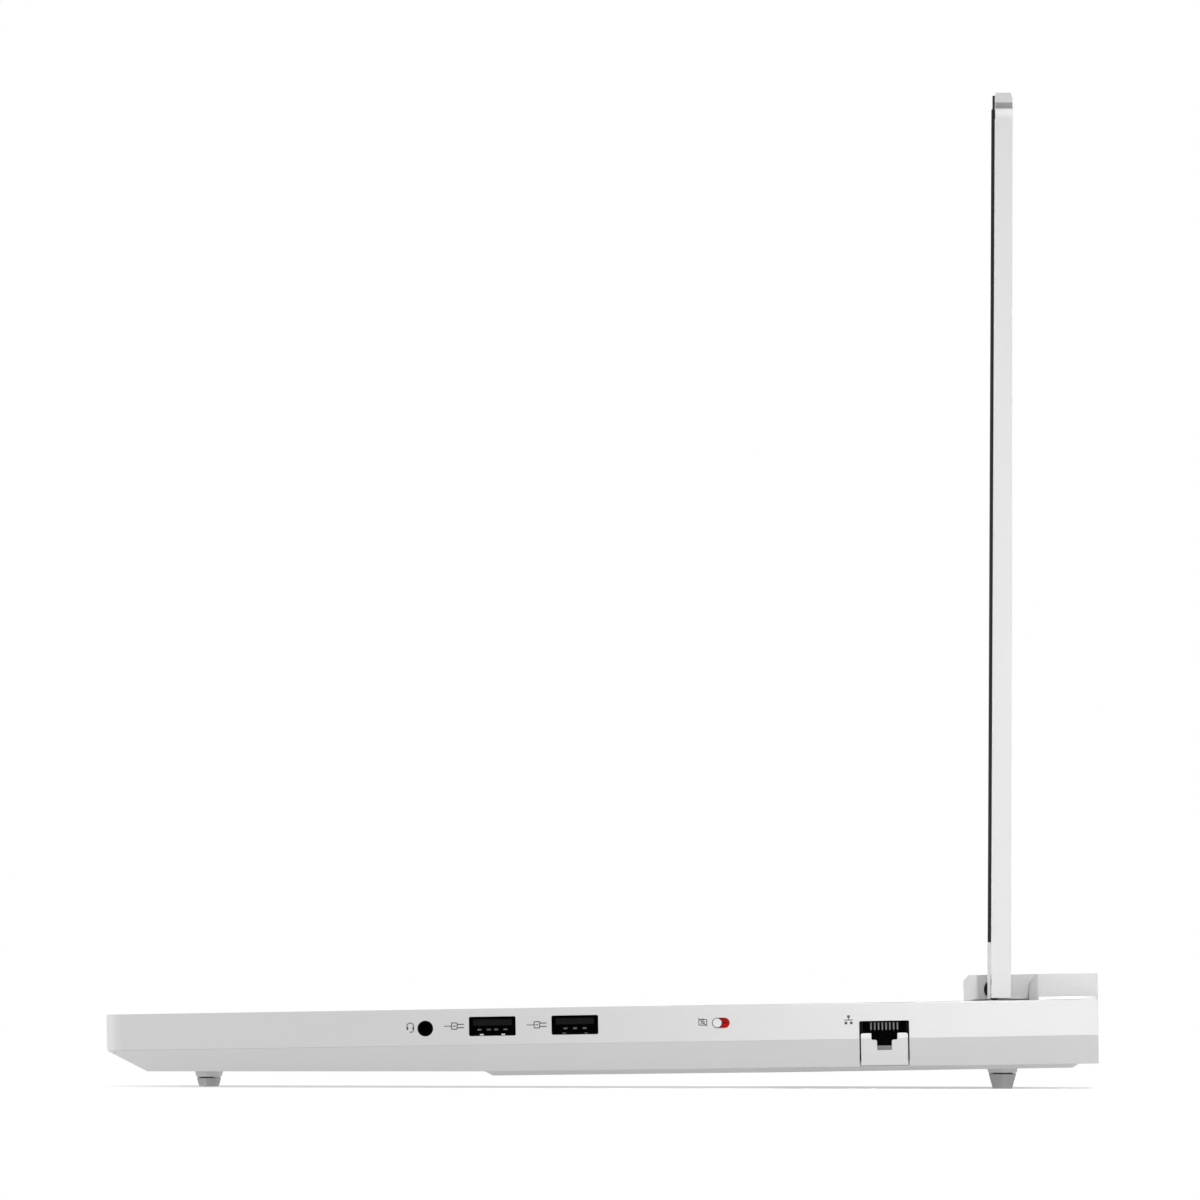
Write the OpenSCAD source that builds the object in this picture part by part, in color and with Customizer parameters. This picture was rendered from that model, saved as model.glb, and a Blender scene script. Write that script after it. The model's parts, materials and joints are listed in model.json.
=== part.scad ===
// Laptop computer with its lid open at a right angle.
// X runs across (positive to the user's right), Y to the back and Z up.
// The origin is on the table, under the middle of the part. All sizes are in millimetres.

/* [Base] */
// Width of the base across its side walls
base_w = 364; // [352:1:380]
// Depth of the base from its front face to the end of its tail
base_d = 267.8; // [262:0.2:280]
// Slope of the deck, rising to the back, in degrees
deck_tilt = 1.02; // [0.8:0.02:1.3]
// Height of the deck above the table, midway along it
deck_z = 21.98; // [21.6:0.02:23]
// Height of the upright side wall, from the deck to the parting line
wall_h = 9.7; // [9.4:0.1:10.4]
// Radius of the base's front corners, seen from above
corner_r = 4.2; // [3:0.1:6]
// Radius of the base's rear corners, seen from above
rear_corner_r = 0.8; // [0.4:0.1:1.2]
// How far the lower front wall slants inwards
front_run = 10.8; // [8:0.1:14]
// Height of the lower front wall
front_rise = 5.8; // [5.5:0.1:6.4]
// How far the lower side walls slant inwards
side_run = 8; // [7:0.1:9]
// Height of the lower side wall at its rear end
side_rise = 7.75; // [7.5:0.05:8.2]
// Thickness of the side walls
wall_t = 1.6; // [1.3:0.1:1.9]
// Thickness of the deck
deck_t = 1.5; // [1.2:0.1:1.8]
// Thickness of the bottom cover's floor
floor_t = 1.4; // [1.1:0.1:1.6]
// Open seam between two housing pieces
seam = 0.1; // [0.08:0.01:0.25]

/* [Underside] */
// How far the intake plateau stands below the bottom cover
plateau_h = 1.05; // [0.8:0.05:1.3]
// How far the plateau's sides stand in from the side walls
plateau_inset = 26; // [24:1:28]
// Front end of the intake plateau, from the middle of the base
plateau_front = -30; // [-34:1:-24]
// Rear end of the intake plateau, short of the tail's end
plateau_back = 7; // [5:0.5:8]
// How far the plateau's edges slope outwards on their way up to the mid floor
plateau_slope = 3.9; // [3:0.1:4.2]
// Width of an intake window
intake_w = 68; // [60:1:68]
// Depth of an intake window
intake_d = 56; // [50:1:60]
// Width of the rear foot where it meets the table
rear_foot_w = 5.2; // [4.6:0.1:6]
// Width of the front foot where it meets the table
front_foot_w = 4.2; // [3.2:0.1:5]
// How much wider a foot gets for each millimetre of height
foot_flare = 0.56; // [0.4:0.02:0.6]
// Groove between a foot's rubber pad and its boss
foot_groove = 0.35; // [0.25:0.05:0.5]
// How much narrower than its foot a rubber pad's neck is
neck_step = 1.4; // [1:0.1:1.6]
// Height of the front foot's rubber pad
front_pad_h = 2.35; // [2.1:0.05:2.5]
// Height of the rear foot's rubber pad
rear_pad_h = 4; // [3.6:0.1:4.2]
// Length of the front foot
front_foot_l = 84; // [60:1:120]
// Centre of the front foot, behind the front face
front_foot_y = 25; // [24:0.1:30]
// Outer end of the rear foot, in from the side wall
rear_foot_inset = 32; // [30:1:36]
// Centre of the rear foot, ahead of the tail's end
rear_foot_y = 25.9; // [24:0.2:28]

/* [Hinge and tail] */
// Distance from the tail's end to the hinge axis
hinge_back = 27.9; // [27.6:0.1:28.6]
// Height of the hinge axis above the deck
hinge_w = 3.03; // [2.95:0.01:3.1]
// Radius of the hinge shaft
shaft_r = 1.4; // [1.3:0.05:1.45]
// Running clearance of the shaft in its barrel
shaft_gap = 0.05; // [0.03:0.01:0.08]
// Radius of the hinge barrel
barrel_r = 2.75; // [2.6:0.01:2.78]
// Outer end of a hinge cap, in from the side wall
cap_inset = 18; // [17:0.5:20]
// Length of a hinge cap along the hinge axis
cap_l = 46; // [42:1:50]
// Reach of a hinge cap ahead of the hinge axis
cap_front = 8.3; // [8:0.1:8.5]
// Height of the tail and the hinge caps above the deck
tail_h = 6.95; // [6.8:0.05:7.1]
// Distance from the hinge axis back to the tail
tail_gap = 9.4; // [9.2:0.1:9.8]
// How far the tail's sides stand in from the base's side walls
tail_inset = 2.6; // [2.5:0.1:3]
// Depth of the trough that the lid's lower edge turns in
trough_depth = 2.8; // [2.6:0.05:2.9]
// Thickness of the trough's floor
trough_t = 1.2; // [1:0.1:1.3]
// Distance from the hinge axis forward to the trough's front wall
trough_front = 6; // [5.7:0.1:6.4]

/* [Lid] */
// How far the lid's sides stand in from the base's side walls
lid_inset = 2.8; // [2.7:0.1:3.2]
// Distance from the hinge axis to the lid's outer face
lid_back = 4.5; // [4.4:0.05:4.6]
// Distance from the hinge axis to the lid shell's front rim, at its foot
lid_front = 0.85; // [0.8:0.01:0.9]
// How much further back the lid shell's front rim stands at its top
lid_taper = 0.65; // [0.4:0.01:0.7]
// How far the lid reaches below the hinge axis
lid_drop = 2.4; // [2.2:0.05:2.5]
// How far the closed lid's edge stands behind the base's front face
lid_setback = 0.3; // [0.2:0.1:1]
// Radius of the lid's corners
lid_corner = 4.8; // [4:0.1:6]
// Thickness of the lid's outer skin
lid_t = 1.2; // [1:0.05:1.3]
// Thickness of the lid's rim
lid_rim = 1.6; // [1.3:0.1:1.8]
// Height of the camera tab above the lid's edge
tab_h = 4.4; // [2.4:0.1:5]
// Width of the camera tab
tab_w = 150; // [80:1:170]
// Height of the hinge-cap notches above the hinge axis
notch_h = 11.2; // [11:0.1:11.6]
// Gap between a hinge cap and the sides of its notch
notch_gap = 0.6; // [0.5:0.1:0.8]
// Border between the picture area and the lid's sides
screen_side = 6.9; // [6.5:0.1:12]
// Border between the picture area and the lid's upper edge
screen_head = 7.4; // [7.2:0.1:12]
// Lower edge of the picture area, above the hinge axis
screen_z = 16.8; // [16:0.2:18]
// Upper edge of the chin strip, above the hinge axis
chin_h = 12.8; // [12.6:0.1:13.4]
// How far the bezel's edge stands in from the lid's edge
bezel_inset = 0.8; // [0.5:0.1:1]
// How far the gasket and the chin strip stand proud of the lid shell's rim
proud = 1.05; // [0.95:0.01:1.1]
// How far the bezel's face stands behind the gasket
bezel_sink = 0.28; // [0.2:0.02:0.35]
// Width of the bezel gasket
gasket_w = 1.4; // [1.2:0.1:1.8]
// Thickness of the display panel
panel_t = 2.2; // [2:0.1:2.3]

/* [Keyboard] */
// Distance from a side wall to the keys
kb_inset = 19.15; // [18.8:0.05:22]
// Pitch of the keys across the number pad
pad_pitch = 14.3; // [13.8:0.05:14.4]
// Pitch of the key rows
row_pitch = 18.4; // [18:0.1:18.8]
// Pitch of the function row
fn_pitch = 13.6; // [13:0.1:14]
// Gap between two keys
key_gap = 2.8; // [2.6:0.1:3]
// Gap around a key in its window
key_play = 0.5; // [0.4:0.05:0.6]
// Radius of a key's corners
key_r = 1.6; // [1:0.1:2]
// Height of a key
key_h = 2.2; // [2:0.05:2.3]
// Travel of a key
key_travel = 1.4; // [1.2:0.05:1.5]
// How far the keys' tops stand below the deck
key_sink = 0.2; // [0.15:0.05:0.3]
// Depth of the keyboard's well
well_depth = 1.3; // [1.2:0.05:1.4]
// Margin of the well around the keys
well_margin = 1; // [0.8:0.1:1.4]
// Thickness of the web between the keys
web_t = 0.9; // [0.8:0.05:1]
// Distance from the hinge axis forward to the keys
kb_back = 26; // [25.5:0.1:27]
// Thickness of the keyboard's metal plate
plate_t = 0.8; // [0.6:0.05:0.9]
// Radius of a key's plunger
plunger_r = 1.5; // [1.2:0.1:1.8]

/* [Palm rest] */
// Width of the touchpad
pad_w = 124; // [110:1:126]
// Distance from the front face to the touchpad
pad_front = 8.5; // [8:0.1:12]
// Distance from the touchpad back to the keyboard's well
pad_back = 19; // [17:0.5:24]
// Thickness of the touchpad
pad_t = 1.8; // [1.6:0.1:2]
// Gap around the touchpad
pad_play = 0.35; // [0.25:0.05:0.5]
// How far the touchpad's front edge travels
pad_travel = 0.45; // [0.3:0.05:0.5]
// Width of the power button
power_w = 22; // [18:0.5:26]
// Depth of the power button
power_d = 8.5; // [7.5:0.1:9]
// Travel of the power button
power_travel = 0.5; // [0.3:0.1:0.8]

/* [Right side] */
// Depth of the ports' centre line below the deck
port_w = 4.78; // [4.7:0.01:4.9]
// Audio jack, from the middle of the base
jack_y = -47.8; // [-50:0.2:-45]
// Radius of the audio jack's bore
jack_r = 1.8; // [1.75:0.01:1.85]
// Radius of the opening in front of the audio jack
jack_hole_r = 2.12; // [2.05:0.01:2.3]
// Front USB socket, from the middle of the base
usb_front_y = -29.7; // [-31:0.1:-28.6]
// Rear USB socket, from the middle of the base
usb_rear_y = -7.4; // [-9:0.1:-6]
// Width of a USB socket's opening
usb_w = 12.6; // [12.4:0.05:12.7]
// Height of a USB socket's opening
usb_h = 5.2; // [5.1:0.02:5.3]
// Depth of a USB socket
usb_l = 13; // [12:0.1:13.4]
// Camera-shutter switch, from the middle of the base
shutter_y = 32; // [30:0.2:35]
// Length of the camera-shutter switch's slot
slot_l = 4.8; // [4.6:0.1:5.4]
// Height of the camera-shutter switch's slot
slot_h = 2.8; // [2.6:0.05:3]
// Radius of the camera-shutter knob
knob_r = 1.3; // [1.2:0.02:1.35]
// Network socket, from the middle of the base
net_y = 76.1; // [75:0.1:77]
// Width of the network socket's opening
net_w = 13.5; // [13.4:0.05:14]
// Depth of the network opening's upper edge below the deck
net_top = 5; // [4.9:0.05:5.2]
// Height of the opening above the drop jaw
net_slit = 3.3; // [3.1:0.05:3.5]
// Width of the drop jaw
jaw_w = 12.7; // [12.5:0.05:12.9]
// Angle that the drop jaw opens by
jaw_angle = 20; // [14:1:20]

/* [Left side] */
// Power inlet, from the middle of the base
inlet_y = 70; // [66:0.5:74]
// Video socket, from the middle of the base
video_y = 44; // [40:0.5:48]
// Rear USB-C socket, from the middle of the base
usbc_rear_y = 22; // [19:0.5:26]
// Distance between the two USB-C sockets
usbc_pitch = 15; // [14:0.5:16]
// Left USB socket, from the middle of the base
usb_left_y = -16; // [-20:0.5:-13]

/* [Inside] */
// Height of a fan's housing
fan_h = 8.6; // [8:0.1:8.8]
// Distance from a side wall to a fan's axis
fan_inset = 64; // [62:0.5:66]
// Distance from the hinge axis forward to a fan's axis
fan_back = 34; // [33:0.5:35]
// Outer radius of a fan's blades
blade_r = 35; // [32:0.5:36]
// Radius of a fan's hub
hub_r = 11; // [9:0.5:13]
// Number of blades on a fan
blades = 29; // [17:2:35]
// Thickness of the motherboard
board_t = 1.2; // [1:0.1:1.4]
// Distance from a side wall to the battery pack
battery_inset = 56; // [54:1:62]
// Thickness of the battery pack
battery_t = 6.2; // [5.6:0.1:6.4]
// Radius of a bottom screw's shank
screw_r = 1; // [0.9:0.05:1.1]

/* [Hidden] */

// Colours
white = "#e9eaec";
pale_grey = "#cfd0d2";
rubber_grey = "#96979a";
black = "#17181a";
dark = "#2c2d30";
steel = "#a9abae";
copper = "#b8734a";
board_green = "#1f3d33";
red = "#c01414";

eps = 0.01;
far = 60;
half_w = base_w / 2;
front_y = -base_d / 2;
back_y = base_d / 2;
rear_depth = wall_h + side_rise;
front_depth = wall_h + front_rise;
front_flat_y = front_y + front_run;
mid_depth = rear_depth - 0.5;
mid_y = -33;

// The deck's own frame: height 0 is the deck's surface, and y runs along it
module deck() {
  translate([0, -rear_depth * sin(deck_tilt) / 2, deck_z]) rotate([deck_tilt, 0, 0]) children();
}
module mirrored(right) {
  if (right) children();
  else mirror([1, 0, 0]) children();
}
module both_sides() {
  children();
  mirror([1, 0, 0]) children();
}
// An extrusion along x of a shape drawn in y and z
module along_x(length) {
  rotate([90, 0, 90]) linear_extrude(length) children();
}
// An extrusion along y of a shape drawn in x and z
module along_y(length) {
  translate([0, length, 0]) rotate([90, 0, 0]) linear_extrude(length) children();
}
// An upright slab of a shape drawn in x and y, between two heights
module slab(low, high) {
  translate([0, 0, low]) linear_extrude(high - low) children();
}
module box(low, high) {
  translate(low) cube(high - low);
}
module round_rect(w, d, r) {
  square([w - 2 * r, d], center = true);
  square([w, d - 2 * r], center = true);
  for (x = [-1, 1], y = [-1, 1]) translate([x * (w / 2 - r), y * (d / 2 - r)]) circle(r, $fn = 48);
}
module pill(w, d) {
  square([w - d, d], center = true);
  for (x = [-1, 1]) translate([x * (w - d) / 2, 0]) circle(d / 2, $fn = 48);
}
module rod_x(r, low, high) {
  translate([low, 0, 0]) rotate([0, 90, 0]) cylinder(h = high - low, r = r, $fn = 48);
}
module rod_y(r, low, high) {
  translate([0, low, 0]) rotate([-90, 0, 0]) cylinder(h = high - low, r = r, $fn = 48);
}
module rod_z(r, low, high) {
  translate([0, 0, low]) cylinder(h = high - low, r = r, $fn = 48);
}
function quarter(cx, cy, r, from) =
  [for (i = [0 : 3]) let (a = from + 30 * i) [cx + r * cos(a), cy + r * sin(a)]];
function soft_rect(w, d, r) = concat(
  quarter(w / 2 - r, d / 2 - r, r, 0), quarter(r - w / 2, d / 2 - r, r, 90),
  quarter(r - w / 2, r - d / 2, r, 180), quarter(w / 2 - r, r - d / 2, r, 270));

// ---- The base's outer form ----
// Where the inner face of a slanting wall starts and ends, for a wall of thickness t
function slant_in(run, rise, t) =
  let (l = norm([run, rise])) t * run / l - t * (1 - rise / l) * rise / run;
function slant_out(run, rise, t, floor) =
  let (l = norm([run, rise])) t * rise / l + run * (1 + (t * run / l - floor) / rise);

function side_profile(t, floor) = [
  [front_y + t, far],
  [front_y + t, -wall_h + slant_in(front_run, front_rise, t)],
  [front_y + slant_out(front_run, front_rise, t, floor), -front_depth + floor],
  [mid_y, -mid_depth + floor],
  [back_y - t, -rear_depth + floor],
  [back_y - t, far]];
function half_front(t, floor) = [
  [half_w - t, far],
  [half_w - t, -wall_h + slant_in(side_run, side_rise, t)],
  [half_w - slant_out(side_run, side_rise, t, floor), -rear_depth + floor]];
function flip(points) = [for (i = [len(points) - 1 : -1 : 0]) [-points[i][0], points[i][1]]];
// Depth of the bottom's outer face below the deck
function bottom_at(y) = y < mid_y
  ? front_depth + (mid_depth - front_depth) * (y - front_flat_y) / (mid_y - front_flat_y)
  : mid_depth + (rear_depth - mid_depth) * (y - mid_y) / (back_y - mid_y);

// The base from above, with soft front corners and sharper rear ones
module base_plan(t) {
  rear_part = base_d / 4;
  round_rect(base_w - 2 * t, base_d - 2 * t, corner_r - t);
  translate([0, back_y - t - rear_part / 2])
    round_rect(base_w - 2 * t, rear_part, max(rear_corner_r - t, 0.2));
}
module base_form(t = 0, floor = 0) {
  intersection() {
    translate([-base_w, 0, 0]) along_x(2 * base_w) polygon(side_profile(t, floor));
    translate([0, -base_d, 0]) along_y(2 * base_d)
      polygon(concat(half_front(t, floor), flip(half_front(t, floor))));
    slab(-far, far) base_plan(t);
  }
}
plateau_depth = rear_depth + plateau_h;
plateau_w = base_w - 2 * plateau_inset;
plateau_end = back_y - plateau_back;
module plateau_form(t = 0, floor = 0) {
  intersection() {
    translate([-base_w, 0, 0]) along_x(2 * base_w) polygon([
      [plateau_front - plateau_slope + t, -mid_depth + 1 + floor],
      [plateau_front + t, -plateau_depth + 0.35 + floor],
      [plateau_front + 60, -plateau_depth + floor],
      [plateau_end - t, -plateau_depth + floor],
      [plateau_end + plateau_slope - t, -mid_depth + 1 + floor]]);
    translate([0, -base_d, 0]) along_y(2 * base_d) polygon([
      [-plateau_w / 2 + t, -plateau_depth + floor], [plateau_w / 2 - t, -plateau_depth + floor],
      [plateau_w / 2 + plateau_slope - t, -mid_depth + 1 + floor],
      [-plateau_w / 2 - plateau_slope + t, -mid_depth + 1 + floor]]);
  }
}

// ---- Places along the hinge ----
hinge_y = back_y - hinge_back;
hinge_row_y = -rear_depth * sin(deck_tilt) / 2 + hinge_y * cos(deck_tilt) - hinge_w * sin(deck_tilt);
hinge_row_z = deck_z + hinge_y * sin(deck_tilt) + hinge_w * cos(deck_tilt);
cap_out = half_w - cap_inset;
cap_in = cap_out - cap_l;
cap_slope = 1.4;
tail_y = hinge_y + tail_gap;
tail_slope_y = 1.9;
tail_facet_x = 3.2;
tail_facet_y = 2.4;
tail_d = back_y - tail_y;
tail_slope_w = 2.6;
tail_half = half_w - tail_inset;
tail_t = 1.4;
tail_room_half = tail_half - tail_t - 2;
tail_gate_half = half_w - 5;
rear_panel_half = half_w - 6.2;
trough_y = hinge_y - trough_front;
lid_half = half_w - lid_inset;
trough_half = lid_half + 0.4;
barrel_gap = 0.1;
bracket_out = cap_out - 4;
bracket_in = cap_out - 24;
bracket_t = 1.15;
bracket_reach = 22;

// ---- Key layout: each key is [x, y, width, depth] ----
kb_w = base_w - 2 * kb_inset;
key_pitch = (kb_w - 4 * pad_pitch) / 15;
kb_x = -kb_w / 2;
kb_pad_x = kb_x + 15 * key_pitch;
kb_rear = hinge_y - kb_back;
function row_y(i) = i == 0 ? kb_rear - fn_pitch / 2 : kb_rear - fn_pitch - row_pitch * (i - 0.5);
kb_front = row_y(5) - row_pitch / 2;
key_d = row_pitch - key_gap;
fn_key_d = fn_pitch - key_gap;
function before(units, i) = i <= 0 ? 0 : units[i - 1] + before(units, i - 1);
function key_row(units, pitch, x, y, d) =
  [for (i = [0 : len(units) - 1])
    [x + pitch * (before(units, i) + units[i] / 2), y, pitch * units[i] - key_gap, d]];
function ones(n) = [for (i = [1 : n]) 1];
fn_keys = concat(
  key_row([for (i = [1 : 16]) 15 / 16], key_pitch, kb_x, row_y(0), fn_key_d),
  key_row(ones(4), pad_pitch, kb_pad_x, row_y(0), fn_key_d));
number_keys = key_row(concat(ones(13), [2]), key_pitch, kb_x, row_y(1), key_d);
upper_keys = key_row(concat([1.5], ones(12), [1.5]), key_pitch, kb_x, row_y(2), key_d);
home_keys = key_row(concat([1.75], ones(11), [2.25]), key_pitch, kb_x, row_y(3), key_d);
lower_keys = key_row(concat([2.25], ones(10), [2.75]), key_pitch, kb_x, row_y(4), key_d);
bottom_units = [1.5, 1, 1, 1.25, 5.75, 1.25, 1.25];
bottom_all = key_row(bottom_units, key_pitch, kb_x, row_y(5), key_d);
bottom_keys = [for (i = [0 : 6]) if (i != 4) bottom_all[i]];
space_keys = [bottom_all[4]];
arrow_x = kb_x + 12 * key_pitch;
arrow_cluster = concat(
  key_row([1], key_pitch, arrow_x + key_pitch, row_y(5), key_d),
  key_row(ones(3), key_pitch, arrow_x, row_y(6), key_d));
function pad_row(i, units) = key_row(units, pad_pitch, kb_pad_x, row_y(i), key_d);
function tall_key(i) =
  [kb_pad_x + 3.5 * pad_pitch, (row_y(i) + row_y(i + 1)) / 2, pad_pitch - key_gap, row_pitch + key_d];
number_pad = concat(pad_row(1, ones(4)), pad_row(2, ones(3)), pad_row(3, ones(3)),
  pad_row(4, ones(3)), pad_row(5, [2, 1]), [tall_key(2), tall_key(4)]);
all_keys = concat(fn_keys, number_keys, upper_keys, home_keys, lower_keys, bottom_keys,
  space_keys, arrow_cluster, number_pad);
plate_top = -(key_sink + key_h + key_travel + 0.3);
plate_low = plate_top - plate_t;
plunger_low = plate_top - 0.2;
module keyboard_field(margin) {
  translate([kb_x - margin, kb_front - margin])
    square([kb_w + 2 * margin, kb_rear - kb_front + 2 * margin]);
  translate([arrow_x - margin, kb_front - row_pitch - margin])
    square([3 * key_pitch + 2 * margin, row_pitch + 2 * margin]);
}
module keys(list) {
  deck() for (k = list) translate([k[0], k[1], 0]) {
    slab(-key_sink - key_h, -key_sink) polygon(soft_rect(k[2], k[3], key_r));
    rod_z(plunger_r, plunger_low, -key_sink - key_h + eps);
  }
}

// ---- Palm rest and power button ----
pad_x = kb_x + 7.5 * key_pitch;
pad_y0 = front_y + pad_front;
pad_y1 = kb_front - pad_back;
pad_sink = 0.25;
pad_low = -pad_sink - pad_t;
pad_ledge = pad_low - pad_travel - 0.2;
pad_ledge_t = 1;
pad_lap = 2.5;
power_y = (kb_rear + trough_y) / 2 - 0.4;
power_play = 0.2;
power_flange = 1;

// ---- Ports ----
wall_x = half_w - wall_t;
shell_t = 0.45;
board_top = -port_w - usb_h / 2 - shell_t - 0.4;
board_low = board_top - board_t;
jack_w = port_w + 0.35;
jack_l = 12;
net_l = 14.4;
net_cavity_w = 11.8;
net_cavity_h = 7;
net_case_t = 0.8;
jaw_top = -net_top - net_slit;
jaw_low = -rear_depth + 0.5;
jaw_t = 1.6;
jaw_pin_x = half_w - 8.8;
jaw_pin_w = -wall_h - 4.7;
jaw_pin_r = 0.55;
jaw_pin_gap = 0.05;
jaw_ear_y = 7.6;
jaw_cut_in = half_w - 10.4;

// ---- Screws: a boss of the top case over a pillar of the bottom cover ----
fan_x = half_w - fan_inset;
screw_spots = [[half_w - 48.8, front_y + 16], [half_w - 48.8, front_y + 84], [half_w - 13, front_y + 72],
  [half_w - 14.5, hinge_y - 9.5], [fan_x - 50.5, hinge_y - 3]];
boss_r = 2.3;
pillar_r = 3.2;
pillar_h = 3;
screw_head_r = 2;
screw_head_h = 1.3;
screw_seat = 1.5;
screw_gap = 0.06;
module at_screws() {
  both_sides() for (s = screw_spots) translate([s[0], s[1], 0]) {
    $bottom = -bottom_at(s[1]);
    $roof = s[1] > trough_y ? -trough_depth - trough_t : -deck_t;
    children();
  }
}

// ---- Inside ----
battery_w = base_w - 2 * battery_inset;
battery_y0 = front_y + 12.2;
battery_y1 = front_y + 88;
post_r = 2;
battery_low = -bottom_at(battery_y0) + floor_t + 0.35;
battery_top = battery_low + battery_t;
speaker_x0 = half_w - 43.5;
speaker_x1 = half_w - 12;
speaker_y0 = front_y + 12;
speaker_y1 = front_y + 62;
speaker_low = battery_low;
speaker_top = speaker_low + 6;
fan_y = hinge_y - fan_back;
fan_low = -rear_depth + floor_t + 0.85;
fan_top = fan_low + fan_h;
fan_wall = 0.8;
fan_room = blade_r + 2.2;
fan_end = tail_y + tail_t + 0.3;
bearing_r = 1;
bearing_gap = 0.05;
fin_y0 = tail_y + tail_slope_y + tail_t + 0.2;
fin_y1 = back_y - 3.8;
fin_low = -rear_depth + floor_t + 2.75;
fin_top = tail_h - tail_t - 0.3;
fin_x0 = fan_x - 42;
fin_x1 = fan_x + 42;
fin_pitch = 2.4;
fin_t = 0.5;
pipe_t = 2.4;
spreader_top = board_low - 0.8;
spreader_low = fin_low;
board_x = half_w - 19;
board_y0 = front_y + 90;
board_y1 = hinge_y - 87.9;
core_half = fan_x - 54.5;
core_y1 = hinge_y - 10;
chip_x = [-30, 28];
chip_half = 13;
slot_y = board_y0 + 5;
slot_pitch = 33;
memory_half = 34;
bay_y0 = board_y0 + 12;
bay_y1 = board_y0 + 34;
drive_x0 = -112;
drive_x1 = -41;
card_x0 = 52;
card_x1 = 82;
exhaust_x0 = fan_x - 54;
exhaust_x1 = fan_x + 46;
exhaust_low = -wall_h + 1.4;
exhaust_top = tail_h - 2.7;
grille_t = 1.6;
foot_chevron = 3;

// ================= Base housing =================
module top_case() {
  color(white) deck() {
    difference() {
      union() {
        difference() {
          intersection() {
            base_form();
            box([-base_w, -base_d, -wall_h], [base_w, base_d, 0]);
          }
          intersection() {
            base_form(wall_t, floor_t);
            box([-base_w, -base_d, -2 * far], [base_w, base_d, -deck_t]);
          }
        }
        // the trough's floor and front wall
        box([-wall_x - eps, trough_y - trough_t, -trough_depth - trough_t],
            [wall_x + eps, tail_y + tail_t, -trough_depth]);
        box([-wall_x - eps, trough_y - trough_t, -trough_depth - eps], [wall_x + eps, trough_y, -deck_t / 2]);
        // the keyboard's web, and the rim that the metal plate seats on
        slab(-well_depth - web_t, -well_depth) keyboard_field(well_margin + eps);
        slab(plate_top, -deck_t / 2) difference() {
          keyboard_field(well_margin + 1.5);
          keyboard_field(well_margin);
        }
        // the touchpad's ledge
        translate([pad_x, (pad_y0 + pad_y1) / 2, 0]) difference() {
          slab(pad_ledge - pad_ledge_t, -deck_t / 2)
            square([pad_w + 2 * pad_play + 2, pad_y1 - pad_y0 + 2 * pad_play + 2], center = true);
          slab(pad_ledge, 0)
            square([pad_w + 2 * pad_play, pad_y1 - pad_y0 + 2 * pad_play], center = true);
          slab(-far, 0) square([pad_w - 2 * pad_lap, pad_y1 - pad_y0 - 2 * pad_lap], center = true);
        }
        // two pads that the touchpad's rear edge rocks on
        for (x = [-1, 1]) translate([pad_x + x * (pad_w / 2 - 8), pad_y1 - 1.6, 0])
          rod_z(0.8, pad_ledge - eps, pad_low - 0.06);
        // bosses for the bottom screws
        at_screws() rod_z(boss_r, $bottom + pillar_h + 0.05, $roof + eps);
        // posts that carry the battery, the speakers and the fans
        both_sides() {
          for (y = [battery_y0 + 5, battery_y1 - 5])
            translate([battery_w / 2 - 8, y, 0]) rod_z(post_r, battery_top, -deck_t + eps);
          for (y = [speaker_y0 + 7, speaker_y1 - 7])
            translate([(speaker_x0 + speaker_x1) / 2, y, 0]) rod_z(post_r, speaker_top, -deck_t + eps);
          for (x = [-34, 14])
            translate([fan_x + x, kb_rear + 10, 0]) rod_z(post_r, fan_top, -deck_t + eps);
        }
      }
      // the keyboard's well and its key windows
      slab(-well_depth, 1) keyboard_field(well_margin);
      for (k = all_keys) translate([k[0], k[1], 0])
        slab(-well_depth - web_t - 1, 0) square([k[2] + 2 * key_play, k[3] + 2 * key_play], center = true);
      // the touchpad's opening
      translate([pad_x, (pad_y0 + pad_y1) / 2, 0]) slab(pad_ledge, 1)
        round_rect(pad_w + 2 * pad_play, pad_y1 - pad_y0 + 2 * pad_play, 1.5);
      // the power button's opening
      translate([0, power_y, 0]) slab(-deck_t - 1, 1)
        pill(power_w + 2 * power_play, power_d + 2 * power_play);
      // the trough
      box([-trough_half, trough_y, -trough_depth], [trough_half, tail_y + tail_t + eps, 1]);
      // slots that the hinge brackets come up through
      both_sides() box([bracket_in - 0.3, hinge_y - bracket_t - 0.3, -far],
        [bracket_out + 0.3, hinge_y + bracket_t + 0.3, 0]);
      // the opening under the tail and the place of the rear panel
      box([-tail_gate_half, tail_y + tail_t, -far], [tail_gate_half, back_y - tail_t, 1]);
      box([-rear_panel_half - seam, back_y - tail_t - 0.6, -far], [rear_panel_half + seam, far * 4, 1]);
      // screw holes
      at_screws() rod_z(screw_r + screw_gap, $bottom, $bottom + pillar_h + 6);
      side_openings();
    }
  }
}

// The openings in both side walls
module side_openings() {
  translate([0, jack_y, -jack_w]) rod_x(jack_hole_r, half_w - 5, half_w + 5);
  for (y = [usb_front_y, usb_rear_y])
    box([half_w - 5, y - usb_w / 2, -port_w - usb_h / 2], [half_w + 5, y + usb_w / 2, -port_w + usb_h / 2]);
  translate([half_w - 5, shutter_y, -port_w - 0.1]) along_x(10) pill(slot_l, slot_h);
  box([half_w - 5, net_y - net_w / 2, -far], [half_w + 5, net_y + net_w / 2, -net_top]);
  translate([-half_w - 5, inlet_y, -port_w]) along_x(10) square([11.2, 4.8], center = true);
  translate([-half_w - 5, video_y, -port_w]) along_x(10) video_outline(0);
  for (i = [0, 1]) translate([-half_w - 5, usbc_rear_y - i * usbc_pitch, -port_w])
    along_x(10) pill(9.1, 3.4);
  translate([-half_w - 5, usb_left_y, -port_w]) along_x(10) square([usb_w, usb_h], center = true);
}
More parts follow.
